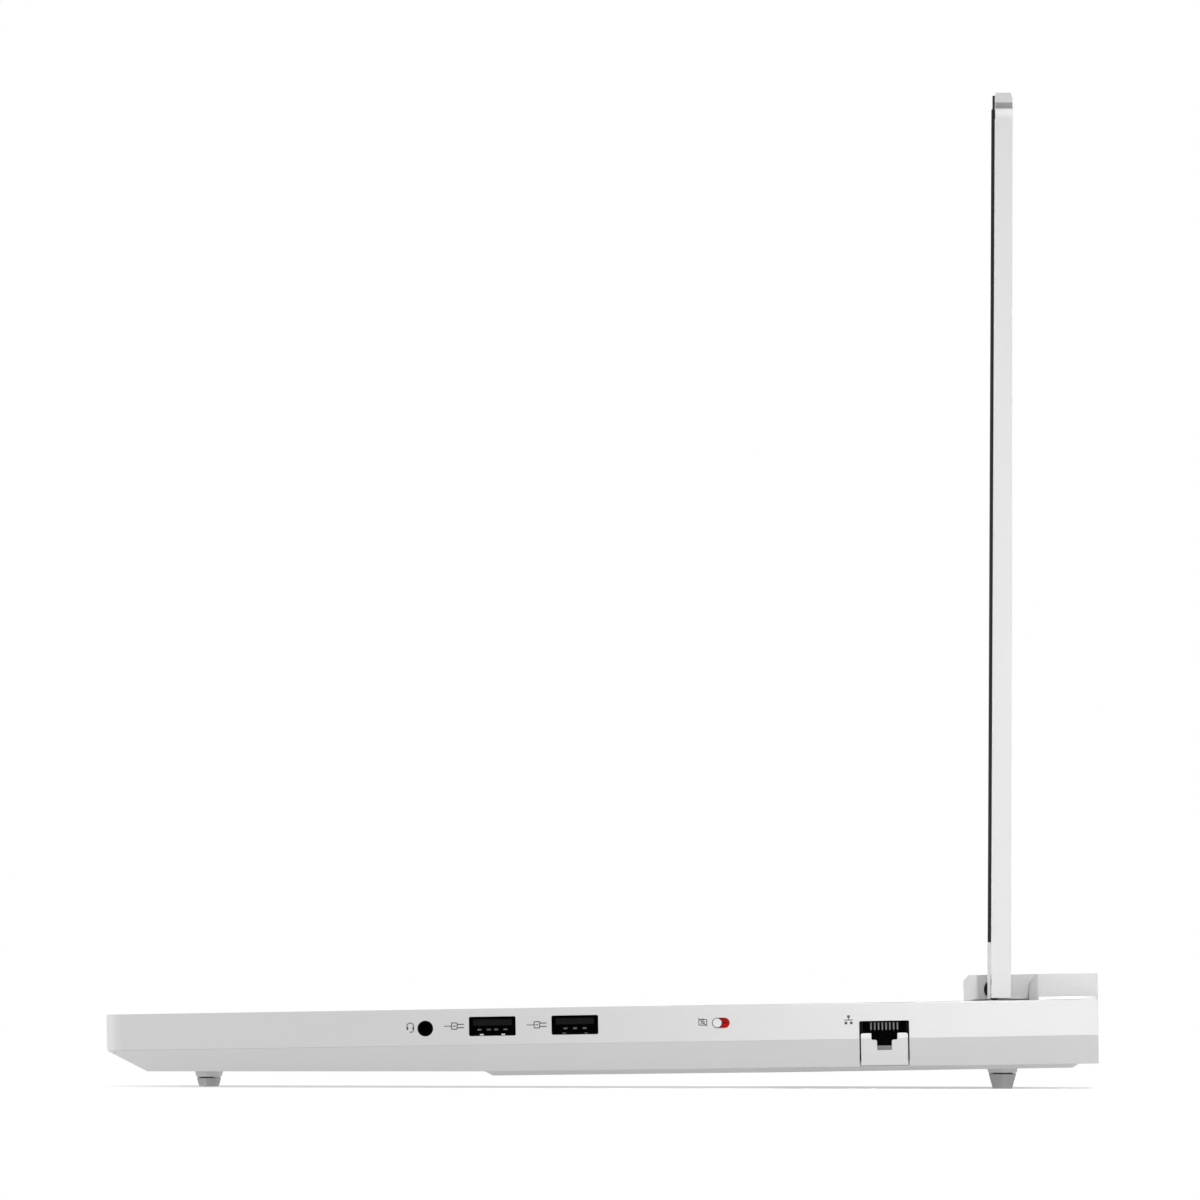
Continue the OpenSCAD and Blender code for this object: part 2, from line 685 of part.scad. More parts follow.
module video_outline(grow) {
  polygon([[-7.2 - grow, 2.4 + grow], [7.2 + grow, 2.4 + grow], [7.2 + grow, -0.6],
    [5.6 + grow, -2.4 - grow], [-5.6 - grow, -2.4 - grow], [-7.2 - grow, -0.6]]);
}

// A foot's outline from above, with a pointed end on each side
module foot_plan(length, w) {
  polygon([[-length / 2, 0], [-length / 2 + foot_chevron, -w], [length / 2 - foot_chevron, -w],
    [length / 2, 0], [length / 2 - foot_chevron, w], [-length / 2 + foot_chevron, w]]);
}
// A foot between two heights above the table, flaring upwards
module foot_form(length, w, low, high) {
  half_low = (w + foot_flare * low) / 2;
  half_high = (w + foot_flare * high) / 2;
  intersection() {
    translate([-length, 0, 0]) along_x(2 * length)
      polygon([[-half_low, low], [half_low, low], [half_high, high], [-half_high, high]]);
    slab(low - 1, high + 1) foot_plan(length, half_high);
  }
}
module at_front_foot() {
  translate([0, front_y + front_foot_y, 0]) children();
}
module at_rear_foot() {
  translate([0, back_y - rear_foot_y, 0]) children();
}
rear_foot_l = base_w - 2 * rear_foot_inset;
neck_depth = 1;
neck_inset = 4;
neck_play = 0.1;
// Height above the table at which a foot's boss ends, inside the bottom cover's floor
function foot_root(y) = deck_z + y * sin(deck_tilt) - bottom_at(y) + floor_t / 2;
module foot_neck(length, w, low, high, play) {
  half_l = length / 2 - neck_inset + play;
  half_w = (w - neck_step + play) / 2;
  box([-half_l, -half_w, low], [half_l, half_w, high]);
}
module foot_pad(length, w, pad_h) {
  foot_form(length, w, 0, pad_h);
  foot_neck(length, w, pad_h - eps, pad_h + foot_groove + neck_depth, 0);
}
module foot_socket(length, w, pad_h) {
  foot_neck(length, w, 0, pad_h + foot_groove + neck_depth, neck_play);
}

module bottom_cover() {
  color(pale_grey) {
    difference() {
      union() {
        deck() difference() {
          union() {
            intersection() {
              base_form();
              box([-base_w, -base_d, -far], [base_w, base_d, -wall_h - seam]);
            }
            // the lip that lies inside the top case's wall
            intersection() {
              base_form(wall_t + 0.1, floor_t);
              box([-base_w, -base_d, -wall_h - 1], [base_w, back_y - 4, -wall_h + 1.2]);
            }
            plateau_form();
          }
          base_form(wall_t + 0.1 + 1.1, floor_t);
          intersection() {
            base_form(wall_t, floor_t);
            box([-base_w, -base_d, -far], [base_w, base_d, -wall_h - 1]);
          }
          plateau_form(wall_t, floor_t);
        }
        at_front_foot() foot_form(front_foot_l, front_foot_w, front_pad_h + foot_groove,
          foot_root(front_y + front_foot_y));
        at_rear_foot() foot_form(rear_foot_l, rear_foot_w, rear_pad_h + foot_groove,
          foot_root(back_y - rear_foot_y));
        deck() at_screws() rod_z(pillar_r, $bottom + eps, $bottom + pillar_h);
      }
      at_front_foot() foot_socket(front_foot_l, front_foot_w, front_pad_h);
      at_rear_foot() foot_socket(rear_foot_l, rear_foot_w, rear_pad_h);
      deck() {
        at_screws() {
          rod_z(screw_head_r + 0.1, $bottom - 2, $bottom + screw_seat);
          rod_z(screw_r + 0.2, $bottom - 2, $bottom + pillar_h + 1);
        }
        both_sides() translate([fan_x, fan_y, 0]) slab(-far, -rear_depth + 3) round_rect(intake_w, intake_d, 6);
        box([jaw_cut_in, net_y - net_w / 2, -far], [half_w + 5, net_y + net_w / 2, -net_top]);
        // the lip makes way for the sockets behind the side walls
        both_sides() box([half_w - 6, front_y + 80, -wall_h - seam + 0.1], [half_w, hinge_y - 12, 0]);
      }
    }
  }
}

// The tail from above, with slanted front corners
module tail_plan() {
  translate([0, (tail_y + back_y) / 2]) polygon([
    [-tail_half + tail_facet_x, -tail_d / 2], [tail_half - tail_facet_x, -tail_d / 2],
    [tail_half, tail_facet_y - tail_d / 2], [tail_half, tail_d / 2 - 0.3], [tail_half - 0.3, tail_d / 2],
    [0.3 - tail_half, tail_d / 2], [-tail_half, tail_d / 2 - 0.3], [-tail_half, tail_facet_y - tail_d / 2]]);
}
module rear_cover() {
  color(white) deck() difference() {
    union() {
      intersection() {
        translate([-base_w, 0, 0]) along_x(2 * base_w) polygon([
          [tail_y, -trough_depth], [tail_y, tail_h - tail_slope_w], [tail_y + tail_slope_y, tail_h],
          [back_y - 0.2, tail_h], [back_y, tail_h - 0.2], [back_y, -trough_depth]]);
        slab(-far, far) tail_plan();
        union() {
          box([-base_w, -base_d, 0], [base_w, base_d, far]);
          box([-trough_half + 0.1, -base_d, -far], [trough_half - 0.1, tail_y + tail_t, 1]);
        }
      }
      // the shoulder on the base's side rims
      both_sides() translate([0, tail_y + tail_facet_y, 0]) along_y(tail_d - tail_facet_y - 0.3)
        polygon([[tail_half - 1, 0], [half_w - 0.3, 0], [tail_half - 0.05, 0.75], [tail_half - 1, 0.75]]);
      // the rear panel
      box([-rear_panel_half, back_y - tail_t, -wall_h], [rear_panel_half, back_y, 1]);
    }
    // the inside
    difference() {
      translate([-tail_room_half, 0, 0]) along_x(2 * tail_room_half) polygon([
        [tail_y + tail_t, -far], [tail_y + tail_t, tail_h - tail_slope_w - 0.3],
        [tail_y + tail_slope_y + tail_t, tail_h - tail_t],
        [back_y - tail_t, tail_h - tail_t], [back_y - tail_t, -far]]);
      box([-base_w, tail_y - 1, -far], [base_w, tail_y + tail_t, -trough_depth]);
    }
    both_sides() box([exhaust_x0, back_y - 3, exhaust_low], [exhaust_x1, back_y + 1, exhaust_top]);
  }
}

module hinge_cap(right) {
  gap = 0.1;
  groove_h = 0.35;
  groove_depth = 0.8;
  color(white) mirrored(right) deck() difference() {
    translate([cap_in, hinge_y, 0]) along_x(cap_l) polygon([
      [-cap_front, 0], [-cap_front, tail_h - cap_slope], [-cap_front + cap_slope, tail_h],
      [tail_gap + tail_slope_y - gap, tail_h], [tail_gap - gap, tail_h - tail_slope_w],
      [tail_gap - gap, -trough_depth], [-trough_front + gap, -trough_depth], [-trough_front + gap, 0]]);
    translate([cap_in + 1, hinge_y, 0]) along_x(cap_l - 2) polygon([
      [-cap_front + 3.4, -far], [-cap_front + 3.4, hinge_w], [-cap_front + 4.6, tail_h - 1],
      [tail_gap - 1.2, tail_h - 1], [tail_gap - 1.2, -far]]);
    translate([0, hinge_y, hinge_w]) rod_x(barrel_r + barrel_gap, cap_out - 2, cap_out + 1);
    // the open joint between the cap and the deck, over the trough
    box([cap_out - groove_depth, hinge_y - trough_front - 0.2, -eps],
        [cap_out + 1, hinge_y + tail_gap + tail_slope_y, groove_h]);
  }
}

module exhaust_grille(right) {
  gap = 0.1;
  low = exhaust_low + gap;
  high = exhaust_top - gap;
  bars = 4;
  color(dark) mirrored(right) deck() difference() {
    union() {
      box([exhaust_x0 + gap, back_y - 0.4 - grille_t, low], [exhaust_x1 - gap, back_y - 0.4, high]);
      box([exhaust_x0 - 1, back_y - tail_t - 1.1, low - 0.8],
          [exhaust_x1 + 1, back_y - tail_t, high + 0.8]);
    }
    for (i = [0 : 9], j = [0 : bars - 1])
      box([exhaust_x0 + 1.5 + i * (exhaust_x1 - exhaust_x0 - 2) / 10,
           back_y - 5, low + 1 + j * (high - low - 1) / bars],
          [exhaust_x0 + 0.5 + (i + 1) * (exhaust_x1 - exhaust_x0 - 2) / 10,
           back_y + 1, low + (j + 1) * (high - low - 1) / bars]);
  }
}

module intake_grilles() {
  gap = 0.15;
  rows = 8;
  flange = 2;
  low = -plateau_depth;
  color(dark) deck() both_sides() translate([fan_x, fan_y, 0]) difference() {
    union() {
      slab(low, low + floor_t + eps) round_rect(intake_w - 2 * gap, intake_d - 2 * gap, 6 - gap);
      slab(low + floor_t, low + floor_t + 0.6)
        square([intake_w + 2 * flange, intake_d + 2 * flange], center = true);
    }
    for (i = [0 : rows - 1], x = [-1, 0, 1])
      translate([x * (intake_w - 6) / 3, (i - (rows - 1) / 2) * (intake_d - 8) / rows, 0])
        slab(low - 1, low + floor_t + 1)
          square([(intake_w - 6) / 3 - 2.4, (intake_d - 8) / rows - 2], center = true);
  }
}

// ================= Feet =================
module front_foot() {
  color(rubber_grey) at_front_foot() foot_pad(front_foot_l, front_foot_w, front_pad_h);
}
module rear_foot() {
  color(rubber_grey) at_rear_foot() foot_pad(rear_foot_l, rear_foot_w, rear_pad_h);
}

// ================= Keyboard and palm rest =================
stud_x = kb_w / 2 - 43;
module keyboard_plate() {
  color(steel) deck() {
    difference() {
      slab(plate_low, plate_top) keyboard_field(well_margin + 1.5);
      for (k = all_keys) translate([k[0], k[1], 0])
        slab(plate_low - 1, plate_top + 1) circle(plunger_r + 0.3, $fn = 24);
    }
    // studs that the motherboard hangs from, between the key rows
    for (x = [-stud_x, 0, stud_x])
      translate([x, row_y(5) + row_pitch / 2, 0]) rod_z(1.6, board_top, plate_low + eps);
  }
}
module touchpad() {
  color(white) deck() translate([pad_x, (pad_y0 + pad_y1) / 2, 0]) {
    slab(pad_low, -pad_sink) round_rect(pad_w, pad_y1 - pad_y0, 1.3);
    // the circuit board under the plate
    slab(pad_low - 0.9, pad_low + eps)
      square([pad_w - 2 * pad_lap - 2, pad_y1 - pad_y0 - 2 * pad_lap - 2], center = true);
  }
}
module power_button() {
  color(white) deck() translate([0, power_y, 0]) {
    slab(-deck_t - 0.05, -0.1) pill(power_w, power_d);
    slab(-deck_t - 0.9, -deck_t - 0.05 + eps) pill(power_w + 2 * power_flange, power_d + 2 * power_flange);
  }
}

// ================= Inside the base =================
module motherboard() {
  color(board_green) deck() difference() {
    union() {
      slab(board_low, board_top) {
        translate([-board_x, board_y0]) square([2 * board_x, board_y1 - board_y0]);
        translate([-core_half, board_y0]) square([2 * core_half, core_y1 - board_y0]);
        for (x = [-wall_x + 0.5, fan_x + 41 + 1.5])
          translate([x, board_y0 + 1]) square([wall_x - fan_x - 43, net_y + 9 - board_y0]);
      }
      // the two processors, the memory sockets and the drive's stand-off
      for (x = chip_x) box([x - chip_half, fan_y - chip_half, spreader_top],
        [x + chip_half, fan_y + chip_half, board_low + eps]);
      for (i = [0, 1]) box([-memory_half - 3, slot_y + i * slot_pitch, board_low - 2.2],
        [memory_half + 3, slot_y + 4 + i * slot_pitch, board_low + eps]);
      box([card_x0 - 2, bay_y0, board_low - 2], [card_x0 + 4, bay_y1, board_low + eps]);
      box([drive_x1 - 39, bay_y0, board_low - 2], [drive_x1 - 35, bay_y1, board_low + eps]);
    }
    both_sides() translate([fan_x, fan_y, 0]) {
      slab(-far, 0) circle(fan_room + 1.5, $fn = 64);
      box([-fan_room - 1.5, 0, -far], [fan_room + 1.5, far, 0]);
    }
    // room for the network socket
    box([wall_x - net_l - 1, net_y - 9, -far], [half_w, net_y + 9 + 2, 0]);
  }
}
module battery_pack() {
  cells = 4;
  cell_w = (battery_w - 4) / cells;
  color(dark) deck() {
    box([-battery_w / 2, battery_y0, battery_low], [battery_w / 2, battery_y1, battery_low + 1.2]);
    for (i = [0 : cells - 1])
      box([-battery_w / 2 + 2 + i * cell_w + 0.5, battery_y0 + 2, battery_low + 1],
          [-battery_w / 2 + 2 + (i + 1) * cell_w - 0.5, battery_y1 - 10, battery_low + battery_t]);
    box([-battery_w / 2 + 2.5, battery_y1 - 9, battery_low + 1],
        [battery_w / 2 - 2.5, battery_y1 - 1, battery_low + battery_t]);
  }
}
module speaker(right) {
  color(black) mirrored(right) deck() difference() {
    box([speaker_x0, speaker_y0, speaker_low], [speaker_x1, speaker_y1, speaker_top]);
    translate([(speaker_x0 + speaker_x1) / 2, (speaker_y0 + speaker_y1) / 2, 0])
      slab(speaker_low - 1, speaker_low + 1) pill(speaker_x1 - speaker_x0 - 5.5, 14);
  }
}
module heat_spreader() {
  color(copper) deck() difference() {
    box([chip_x[0] - chip_half - 3, fan_y - 17, spreader_low],
        [chip_x[1] + chip_half + 3, fan_y + 17, spreader_top]);
    for (x = chip_x) box([x - 12, fan_y - 15, spreader_low - 1], [x + 12, fan_y + 15, spreader_low + 0.6]);
  }
}
// A flat pipe along straight runs with round bends
module pipe_run(points, w) {
  for (i = [0 : len(points) - 2]) {
    a = points[i];
    b = points[i + 1];
    translate(a) rotate(atan2(b[1] - a[1], b[0] - a[0])) translate([0, -w / 2])
      square([norm(b - a), w]);
  }
  for (p = points) translate(p) circle(w / 2 + 0.1, $fn = 32);
}
module heat_pipes() {
  pipe_w = 5;
  color(copper) deck() both_sides() slab(fin_low - pipe_t, fin_low)
    for (i = [0, 1]) pipe_run([[10, fan_y + 10 - 12 * i], [core_half - 16 + 7 * i, fan_y + 18 - 8 * i],
      [core_half - 10 + 7 * i, fin_y1 - 2.6 - 6 * i], [fin_x1 - 4, fin_y1 - 2.6 - 6 * i]], pipe_w);
}
module fin_stack(right) {
  color(steel) mirrored(right) deck() {
    box([fin_x0, fin_y0, fin_low], [fin_x1, fin_y1, fin_low + 0.6]);
    box([fin_x0, fin_y0, fin_top - 0.5], [fin_x1, fin_y1, fin_top]);
    for (x = [fin_x0 : fin_pitch : fin_x1 - fin_t])
      box([x, fin_y0, fin_low + eps], [x + fin_t, fin_y1, fin_top - eps]);
  }
}
module fan_room_plan(r) {
  circle(r, $fn = 72);
  translate([-r, 0]) square([2 * r, fan_end - fan_y]);
}
module fan_housing(right) {
  boss_h = 4.6;
  color(black) mirrored(right) deck() translate([fan_x, fan_y, 0]) {
    difference() {
      slab(fan_low, fan_top) fan_room_plan(fan_room + fan_wall);
      slab(fan_low + fan_wall, fan_top - fan_wall) {
        circle(fan_room, $fn = 72);
        translate([-fan_room, 0]) square([2 * fan_room, far]);
      }
      slab(fan_low - 1, fan_low + fan_wall + 1) circle(blade_r * 0.74, $fn = 72);
    }
    difference() {
      rod_z(2.6, fan_top - fan_wall - boss_h, fan_top - fan_wall + eps);
      rod_z(bearing_r + bearing_gap, fan_top - fan_wall - boss_h - 1, fan_top - fan_wall);
    }
  }
}
module fan_rotor(right) {
  low = fan_low + fan_wall + 0.5;
  high = fan_top - fan_wall - 0.6;
  color(dark) mirrored(right) deck() translate([fan_x, fan_y, 0]) {
    rod_z(hub_r, low, low + 0.8);
    difference() {
      rod_z(hub_r, low + 0.7, high);
      rod_z(hub_r - 1.2, low, high + 1);
    }
    rod_z(bearing_r, low + 0.7, fan_top - fan_wall - 0.5);
    for (i = [0 : blades - 1]) rotate(i * 360 / blades) translate([hub_r - 0.4, 0, 0]) rotate(24)
      box([0, -0.3, low], [(blade_r - hub_r) * 0.92, 0.3, high]);
  }
}
module storage_drive() {
  color(board_green) deck() {
    box([drive_x0, bay_y0, board_low - 2.8], [drive_x1, bay_y1, board_low - 2]);
    for (i = [0 : 2])
      box([drive_x0 + 4 + 24 * i, bay_y0 + 2, board_low - 3.8],
          [drive_x0 + 20 + 24 * i, bay_y1 - 2, board_low - 2.7]);
  }
}
module memory_modules() {
  color(board_green) deck() for (i = [0, 1]) {
    y = slot_y + slot_pitch * i;
    box([-memory_half, y, board_low - 3.3], [memory_half, y + 28, board_low - 2.2]);
    for (j = [0 : 3])
      box([4 - memory_half + 16 * j, y + 8, board_low - 4.2],
          [15 - memory_half + 16 * j, y + 22, board_low - 3.2]);
  }
}
module wireless_card() {
  color(board_green) deck() {
    box([card_x0, bay_y0, board_low - 2.8], [card_x1, bay_y1, board_low - 2]);
    box([card_x0 + 8, bay_y0 + 3, board_low - 3.8], [card_x1 - 4, bay_y1 - 3, board_low - 2.7]);
  }
}
module bottom_screws() {
  color(steel) deck() at_screws() difference() {
    union() {
      rod_z(screw_head_r, $bottom + screw_seat - screw_head_h, $bottom + screw_seat);
      rod_z(screw_r, $bottom + screw_seat - eps, $bottom + pillar_h + 4);
    }
    slab($bottom + screw_seat - screw_head_h - 1, $bottom + screw_seat - screw_head_h + 0.6) {
      square([2, 0.5], center = true);
      square([0.5, 2], center = true);
    }
  }
}

// ================= Hinges =================
module hinge_bracket(right) {
  color(dark) mirrored(right) deck() translate([0, hinge_y, 0]) difference() {
    union() {
      translate([0, 0, hinge_w]) rod_x(barrel_r, bracket_in, cap_out);
      box([bracket_in, -bracket_t, -trough_depth - trough_t - 1.2], [bracket_out, bracket_t, hinge_w]);
      box([bracket_in, -bracket_reach, -trough_depth - trough_t - 1.2],
          [bracket_out, 5, -trough_depth - trough_t]);
    }
    translate([0, 0, hinge_w]) rod_x(shaft_r + shaft_gap, bracket_in - 1, cap_out + 1);
  }
}
module lid_frame() {
  translate([0, hinge_row_y, hinge_row_z]) children();
}
arm_in = cap_out + 4;
arm_out = lid_half - 2.4;
arm_t = 1.1;
module hinge_arm(right) {
  color(steel) mirrored(right) lid_frame() {
    rod_x(shaft_r, bracket_in + 1, arm_out);
    box([arm_in, -lid_front + 0.2, 0.1 - lid_drop + lid_rim], [arm_out, lid_back - lid_t, 3.4]);
    box([arm_in, lid_back - lid_t - arm_t, 3], [arm_out, lid_back - lid_t, 58]);
  }
}

// ================= Lid =================
lid_top = base_d - hinge_back - lid_setback;
screen_w = 2 * (lid_half - screen_side);
screen_h = lid_top - screen_head - screen_z;
tab_top = lid_top + tab_h;
function rim_y(z) = -lid_front + lid_taper * (z + lid_drop) / (lid_top + lid_drop);
// A slab that follows the rim's slope, between two offsets from it and two heights
module rim_slab(from, to, low, high, w) {
  translate([-w / 2, 0, 0]) along_x(w) polygon([
    [rim_y(low) + from, low], [rim_y(high) + from, high], [rim_y(high) + to, high], [rim_y(low) + to, low]]);
}
// The lid's outline from the front, shrunk inwards by t
module lid_outline(t) {
  difference() {
    union() {
      translate([0, (lid_top - lid_drop) / 2])
        round_rect(2 * lid_half - 2 * t, lid_top + lid_drop - 2 * t, lid_corner - t);
      translate([0, -lid_drop + t]) translate([t - lid_half, 0]) square([2 * (lid_half - t), 10]);
      polygon([[-tab_w / 2 + t, lid_top - t - 6], [tab_w / 2 - t, lid_top - t - 6],
        [tab_w / 2 - t, lid_top - t], [tab_w / 2 - 4 - t, tab_top - t],
        [4 + t - tab_w / 2, tab_top - t], [t - tab_w / 2, lid_top - t]]);
    }
    cap_notches(t);
  }
}
module cap_notches(t) {
  for (s = [0, 1]) mirror([s, 0]) translate([cap_in - notch_gap - t, -far])
    square([cap_l + 2 * notch_gap + 2 * t, far + notch_h + t]);
}
module lid_cover() {
  color(white) lid_frame() difference() {
    intersection() {
      translate([0, -10, 0]) along_y(30) lid_outline(0);
      translate([-base_w, 0, 0]) along_x(2 * base_w) polygon([
        [rim_y(-lid_drop), -lid_drop], [rim_y(tab_top), tab_top],
        [lid_back - 0.45, tab_top], [lid_back, tab_top - 1.8], [lid_back, -lid_drop]]);
    }
    translate([0, -20, 0]) along_y(20 + lid_back - lid_t) lid_outline(lid_rim);
    // slots for the hinge shafts
    both_sides() {
      rod_x(shaft_r + 0.15, cap_out - 1, arm_out + 0.15);
      box([cap_out - 1, -5, -shaft_r - 0.15], [arm_out + 0.15, 0, shaft_r + 0.15]);
    }
  }
}
bezel_half = lid_half - bezel_inset;
bezel_top = lid_top - 1.9;
lens_r = 1.2;
camera_half = 20;
camera_z = bezel_top + lens_r + 0.3;
module bezel_outline(t) {
  polygon([[-bezel_half + t, chin_h + t], [bezel_half - t, chin_h + t],
    [bezel_half - t, bezel_top - 3.5], [bezel_half - 3.5 - t * 0.4, bezel_top - t],
    [-bezel_half + 3.5 + t * 0.4, bezel_top - t], [-bezel_half + t, bezel_top - 3.5]]);
}
module display_bezel() {
  color(black) lid_frame() difference() {
    intersection() {
      rim_slab(bezel_sink - proud, -0.08, chin_h, tab_top, 2 * lid_half);
      translate([0, -20, 0]) along_y(40) union() {
        bezel_outline(0.1);
        polygon([[-tab_w / 2 + 2, bezel_top - 4], [tab_w / 2 - 2, bezel_top - 4],
          [tab_w / 2 - 2, bezel_top], [tab_w / 2 - 6, tab_top - 0.8],
          [6 - tab_w / 2, tab_top - 0.8], [2 - tab_w / 2, bezel_top]]);
      }
    }
    translate([0, -20, 0]) along_y(40)
      translate([-screen_w / 2, screen_z]) square([screen_w, screen_h]);
    translate([0, 0, camera_z]) rod_y(lens_r + 0.1, -10, 10);
    // the groove that the gasket lies in
    intersection() {
      rim_slab(-2, bezel_sink - proud + 0.35, chin_h - 1, tab_top, 2 * lid_half + 2);
      translate([0, -20, 0]) along_y(40) difference() {
        bezel_outline(-1);
        bezel_outline(gasket_w + 0.05);
      }
    }
  }
}
module bezel_gasket() {
  color(black) lid_frame() intersection() {
    rim_slab(-proud, bezel_sink - proud + 0.35, chin_h, tab_top, 2 * lid_half);
    translate([0, -20, 0]) along_y(40) difference() {
      bezel_outline(0);
      bezel_outline(gasket_w);
    }
  }
}
module display_panel() {
  border = 2.6;
  color(dark) lid_frame()
    rim_slab(0.05, 0.05 + panel_t, screen_z - border, screen_z + screen_h + border, screen_w + 2 * border);
}
module chin_strip() {
  color(white) lid_frame() difference() {
    union() {
      intersection() {
        rim_slab(-proud, -0.14, -lid_drop - 0.2, chin_h - 0.12, 2 * lid_half);
        translate([0, -20, 0]) along_y(40) difference() {
          translate([-bezel_half, -lid_drop - 0.2]) square([2 * bezel_half, chin_h + lid_drop + 0.1]);
          cap_notches(0);
        }
      }
      // the snap rib that holds the strip in the lid's rim
      rim_slab(-0.2, 1, -lid_drop + lid_rim + 0.1, -lid_drop + lid_rim + 1.2,
        2 * (cap_in - notch_gap - lid_rim - 1));
    }
    both_sides() rod_x(shaft_r + 0.1, cap_out - 1, arm_out + 0.5);
  }
}
module camera_module() {
  color(black) lid_frame() {
    box([-camera_half, rim_y(tab_top) + 0.3, camera_z - 2.6],
        [camera_half, rim_y(tab_top) + 2.9, camera_z + lens_r]);
    translate([0, 0, camera_z]) rod_y(lens_r, rim_y(camera_z) - 0.6, rim_y(tab_top) + 0.4);
  }
}

// ================= Sockets and switches on the right side =================
module audio_jack() {
  color(black) deck() translate([0, jack_y, -jack_w]) difference() {
    box([wall_x - jack_l, -3.4, board_top + jack_w], [wall_x, 3.4, 2.9]);
    rod_x(jack_r, wall_x - jack_l + 1, half_w);
  }
}
// A USB socket at the origin, opening towards +x, with its tongue in the upper half
module usb_socket(length, stand) {
  difference() {
    box([-length, -usb_w / 2 - shell_t, -usb_h / 2 - shell_t],
        [0, usb_w / 2 + shell_t, usb_h / 2 + shell_t]);
    box([-length + 1.2, -usb_w / 2, -usb_h / 2], [1, usb_w / 2, usb_h / 2]);
  }
  box([-length + 1, -5.6, 0.2], [-0.6, 5.6, 2.2]);
  for (y = [-5.5, 5.5]) box([-length + 1, y - 0.5, -stand], [-2, y + 0.5, -usb_h / 2 - shell_t + eps]);
}
module right_usb(y) {
  color(steel) deck() translate([wall_x, y, -port_w]) usb_socket(usb_l, -port_w - board_top);
}
module usb_socket_front() { right_usb(usb_front_y); }
module usb_socket_rear() { right_usb(usb_rear_y); }
module usb_socket_left() {
  color(steel) mirror([1, 0, 0]) deck() translate([wall_x, usb_left_y, -port_w])
    usb_socket(usb_l, -port_w - board_top);
}
module shutter_slot() {
  color(red) deck() translate([0, shutter_y, -port_w - 0.1]) difference() {
    union() {
      translate([wall_x - 0.1, 0, 0]) along_x(0.8) pill(slot_l - 0.1, slot_h - 0.1);
      translate([wall_x - 0.8, 0, 0]) along_x(0.8) square([slot_l + 3, slot_h + 1.6], center = true);
    }
    translate([wall_x - 2, 0, 0]) along_x(4) pill(slot_l - slot_h + 1.4 + 0.2, 1.6);
  }
}
knob_face = 0.05;
module shutter_slider() {
  color(white) deck() translate([0, shutter_y - (slot_l - slot_h) / 2, -port_w - 0.1]) {
    rod_x(knob_r, wall_x + 0.75, half_w - knob_face);
    rod_x(0.7, wall_x - 1.6, wall_x + 0.8);
    box([wall_x - 2, -1.5, -1.2], [wall_x - 0.9, 1.5, 1.2]);
  }
}
module network_socket() {
  w = net_cavity_w;
  low = -net_top - net_cavity_h;
  color(black) deck() {
    difference() {
      union() {
        intersection() {
          box([wall_x - net_l, net_y - w / 2 - net_case_t, low - net_case_t],
              [wall_x, net_y + w / 2 + net_case_t, -net_top + net_case_t]);
          base_form(jaw_t + 0.6, floor_t);
        }
        // ears that hold the jaw's pin, on a bar under the case
        intersection() {
          translate([jaw_pin_x, net_y, 0]) {
            for (y = [-1, 1]) translate([0, y * jaw_ear_y, 0])
              box([-1, -0.6, jaw_pin_w - 1], [1, 0.6, low]);
            box([-1, -jaw_ear_y, low - net_case_t], [1, jaw_ear_y, low]);
          }
          base_form(wall_t + 0.1, floor_t + 0.1);
        }
      }
      box([wall_x - net_l + 1.2, net_y - w / 2, low], [half_w, net_y + w / 2, -net_top]);
      translate([jaw_pin_x, net_y, jaw_pin_w]) rod_y(jaw_pin_r + jaw_pin_gap, -12, 12);
    }
    // the contacts' carrier
    box([wall_x - net_l + 1, net_y - 4.2, -net_top - 1.2], [wall_x - 4, net_y + 4.2, -net_top + eps]);
  }
}
module network_jaw() {
  color(white) deck() difference() {
    union() {
      intersection() {
        difference() {
          base_form();
          base_form(jaw_t, floor_t);
        }
        box([jaw_pin_x + 0.4, net_y - jaw_w / 2, jaw_low], [half_w + 1, net_y + jaw_w / 2, jaw_top]);
      }
      for (y = [-1, 1]) translate([0, net_y + y * 6, 0]) intersection() {
        box([jaw_pin_x - 0.8, -0.35, jaw_pin_w - 1.6], [half_w, 0.35, jaw_pin_w + 0.8]);
        translate([0, -net_y - y * 6, 0]) base_form(0.5, floor_t);
      }
      translate([jaw_pin_x, net_y, jaw_pin_w]) rod_y(jaw_pin_r, -8.1, -5.7);
      translate([jaw_pin_x, net_y, jaw_pin_w]) rod_y(jaw_pin_r, 5.7, 8.1);
    }
    // the notch for the plug's latch
    translate([half_w - 8, net_y, jaw_top]) along_x(12) polygon([
      [-3.5, 1], [-3.5, -1.8], [-2.2, -1.8], [-1.7, -3.4], [1.7, -3.4], [2.2, -1.8], [3.5, -1.8], [3.5, 1]]);
  }
}

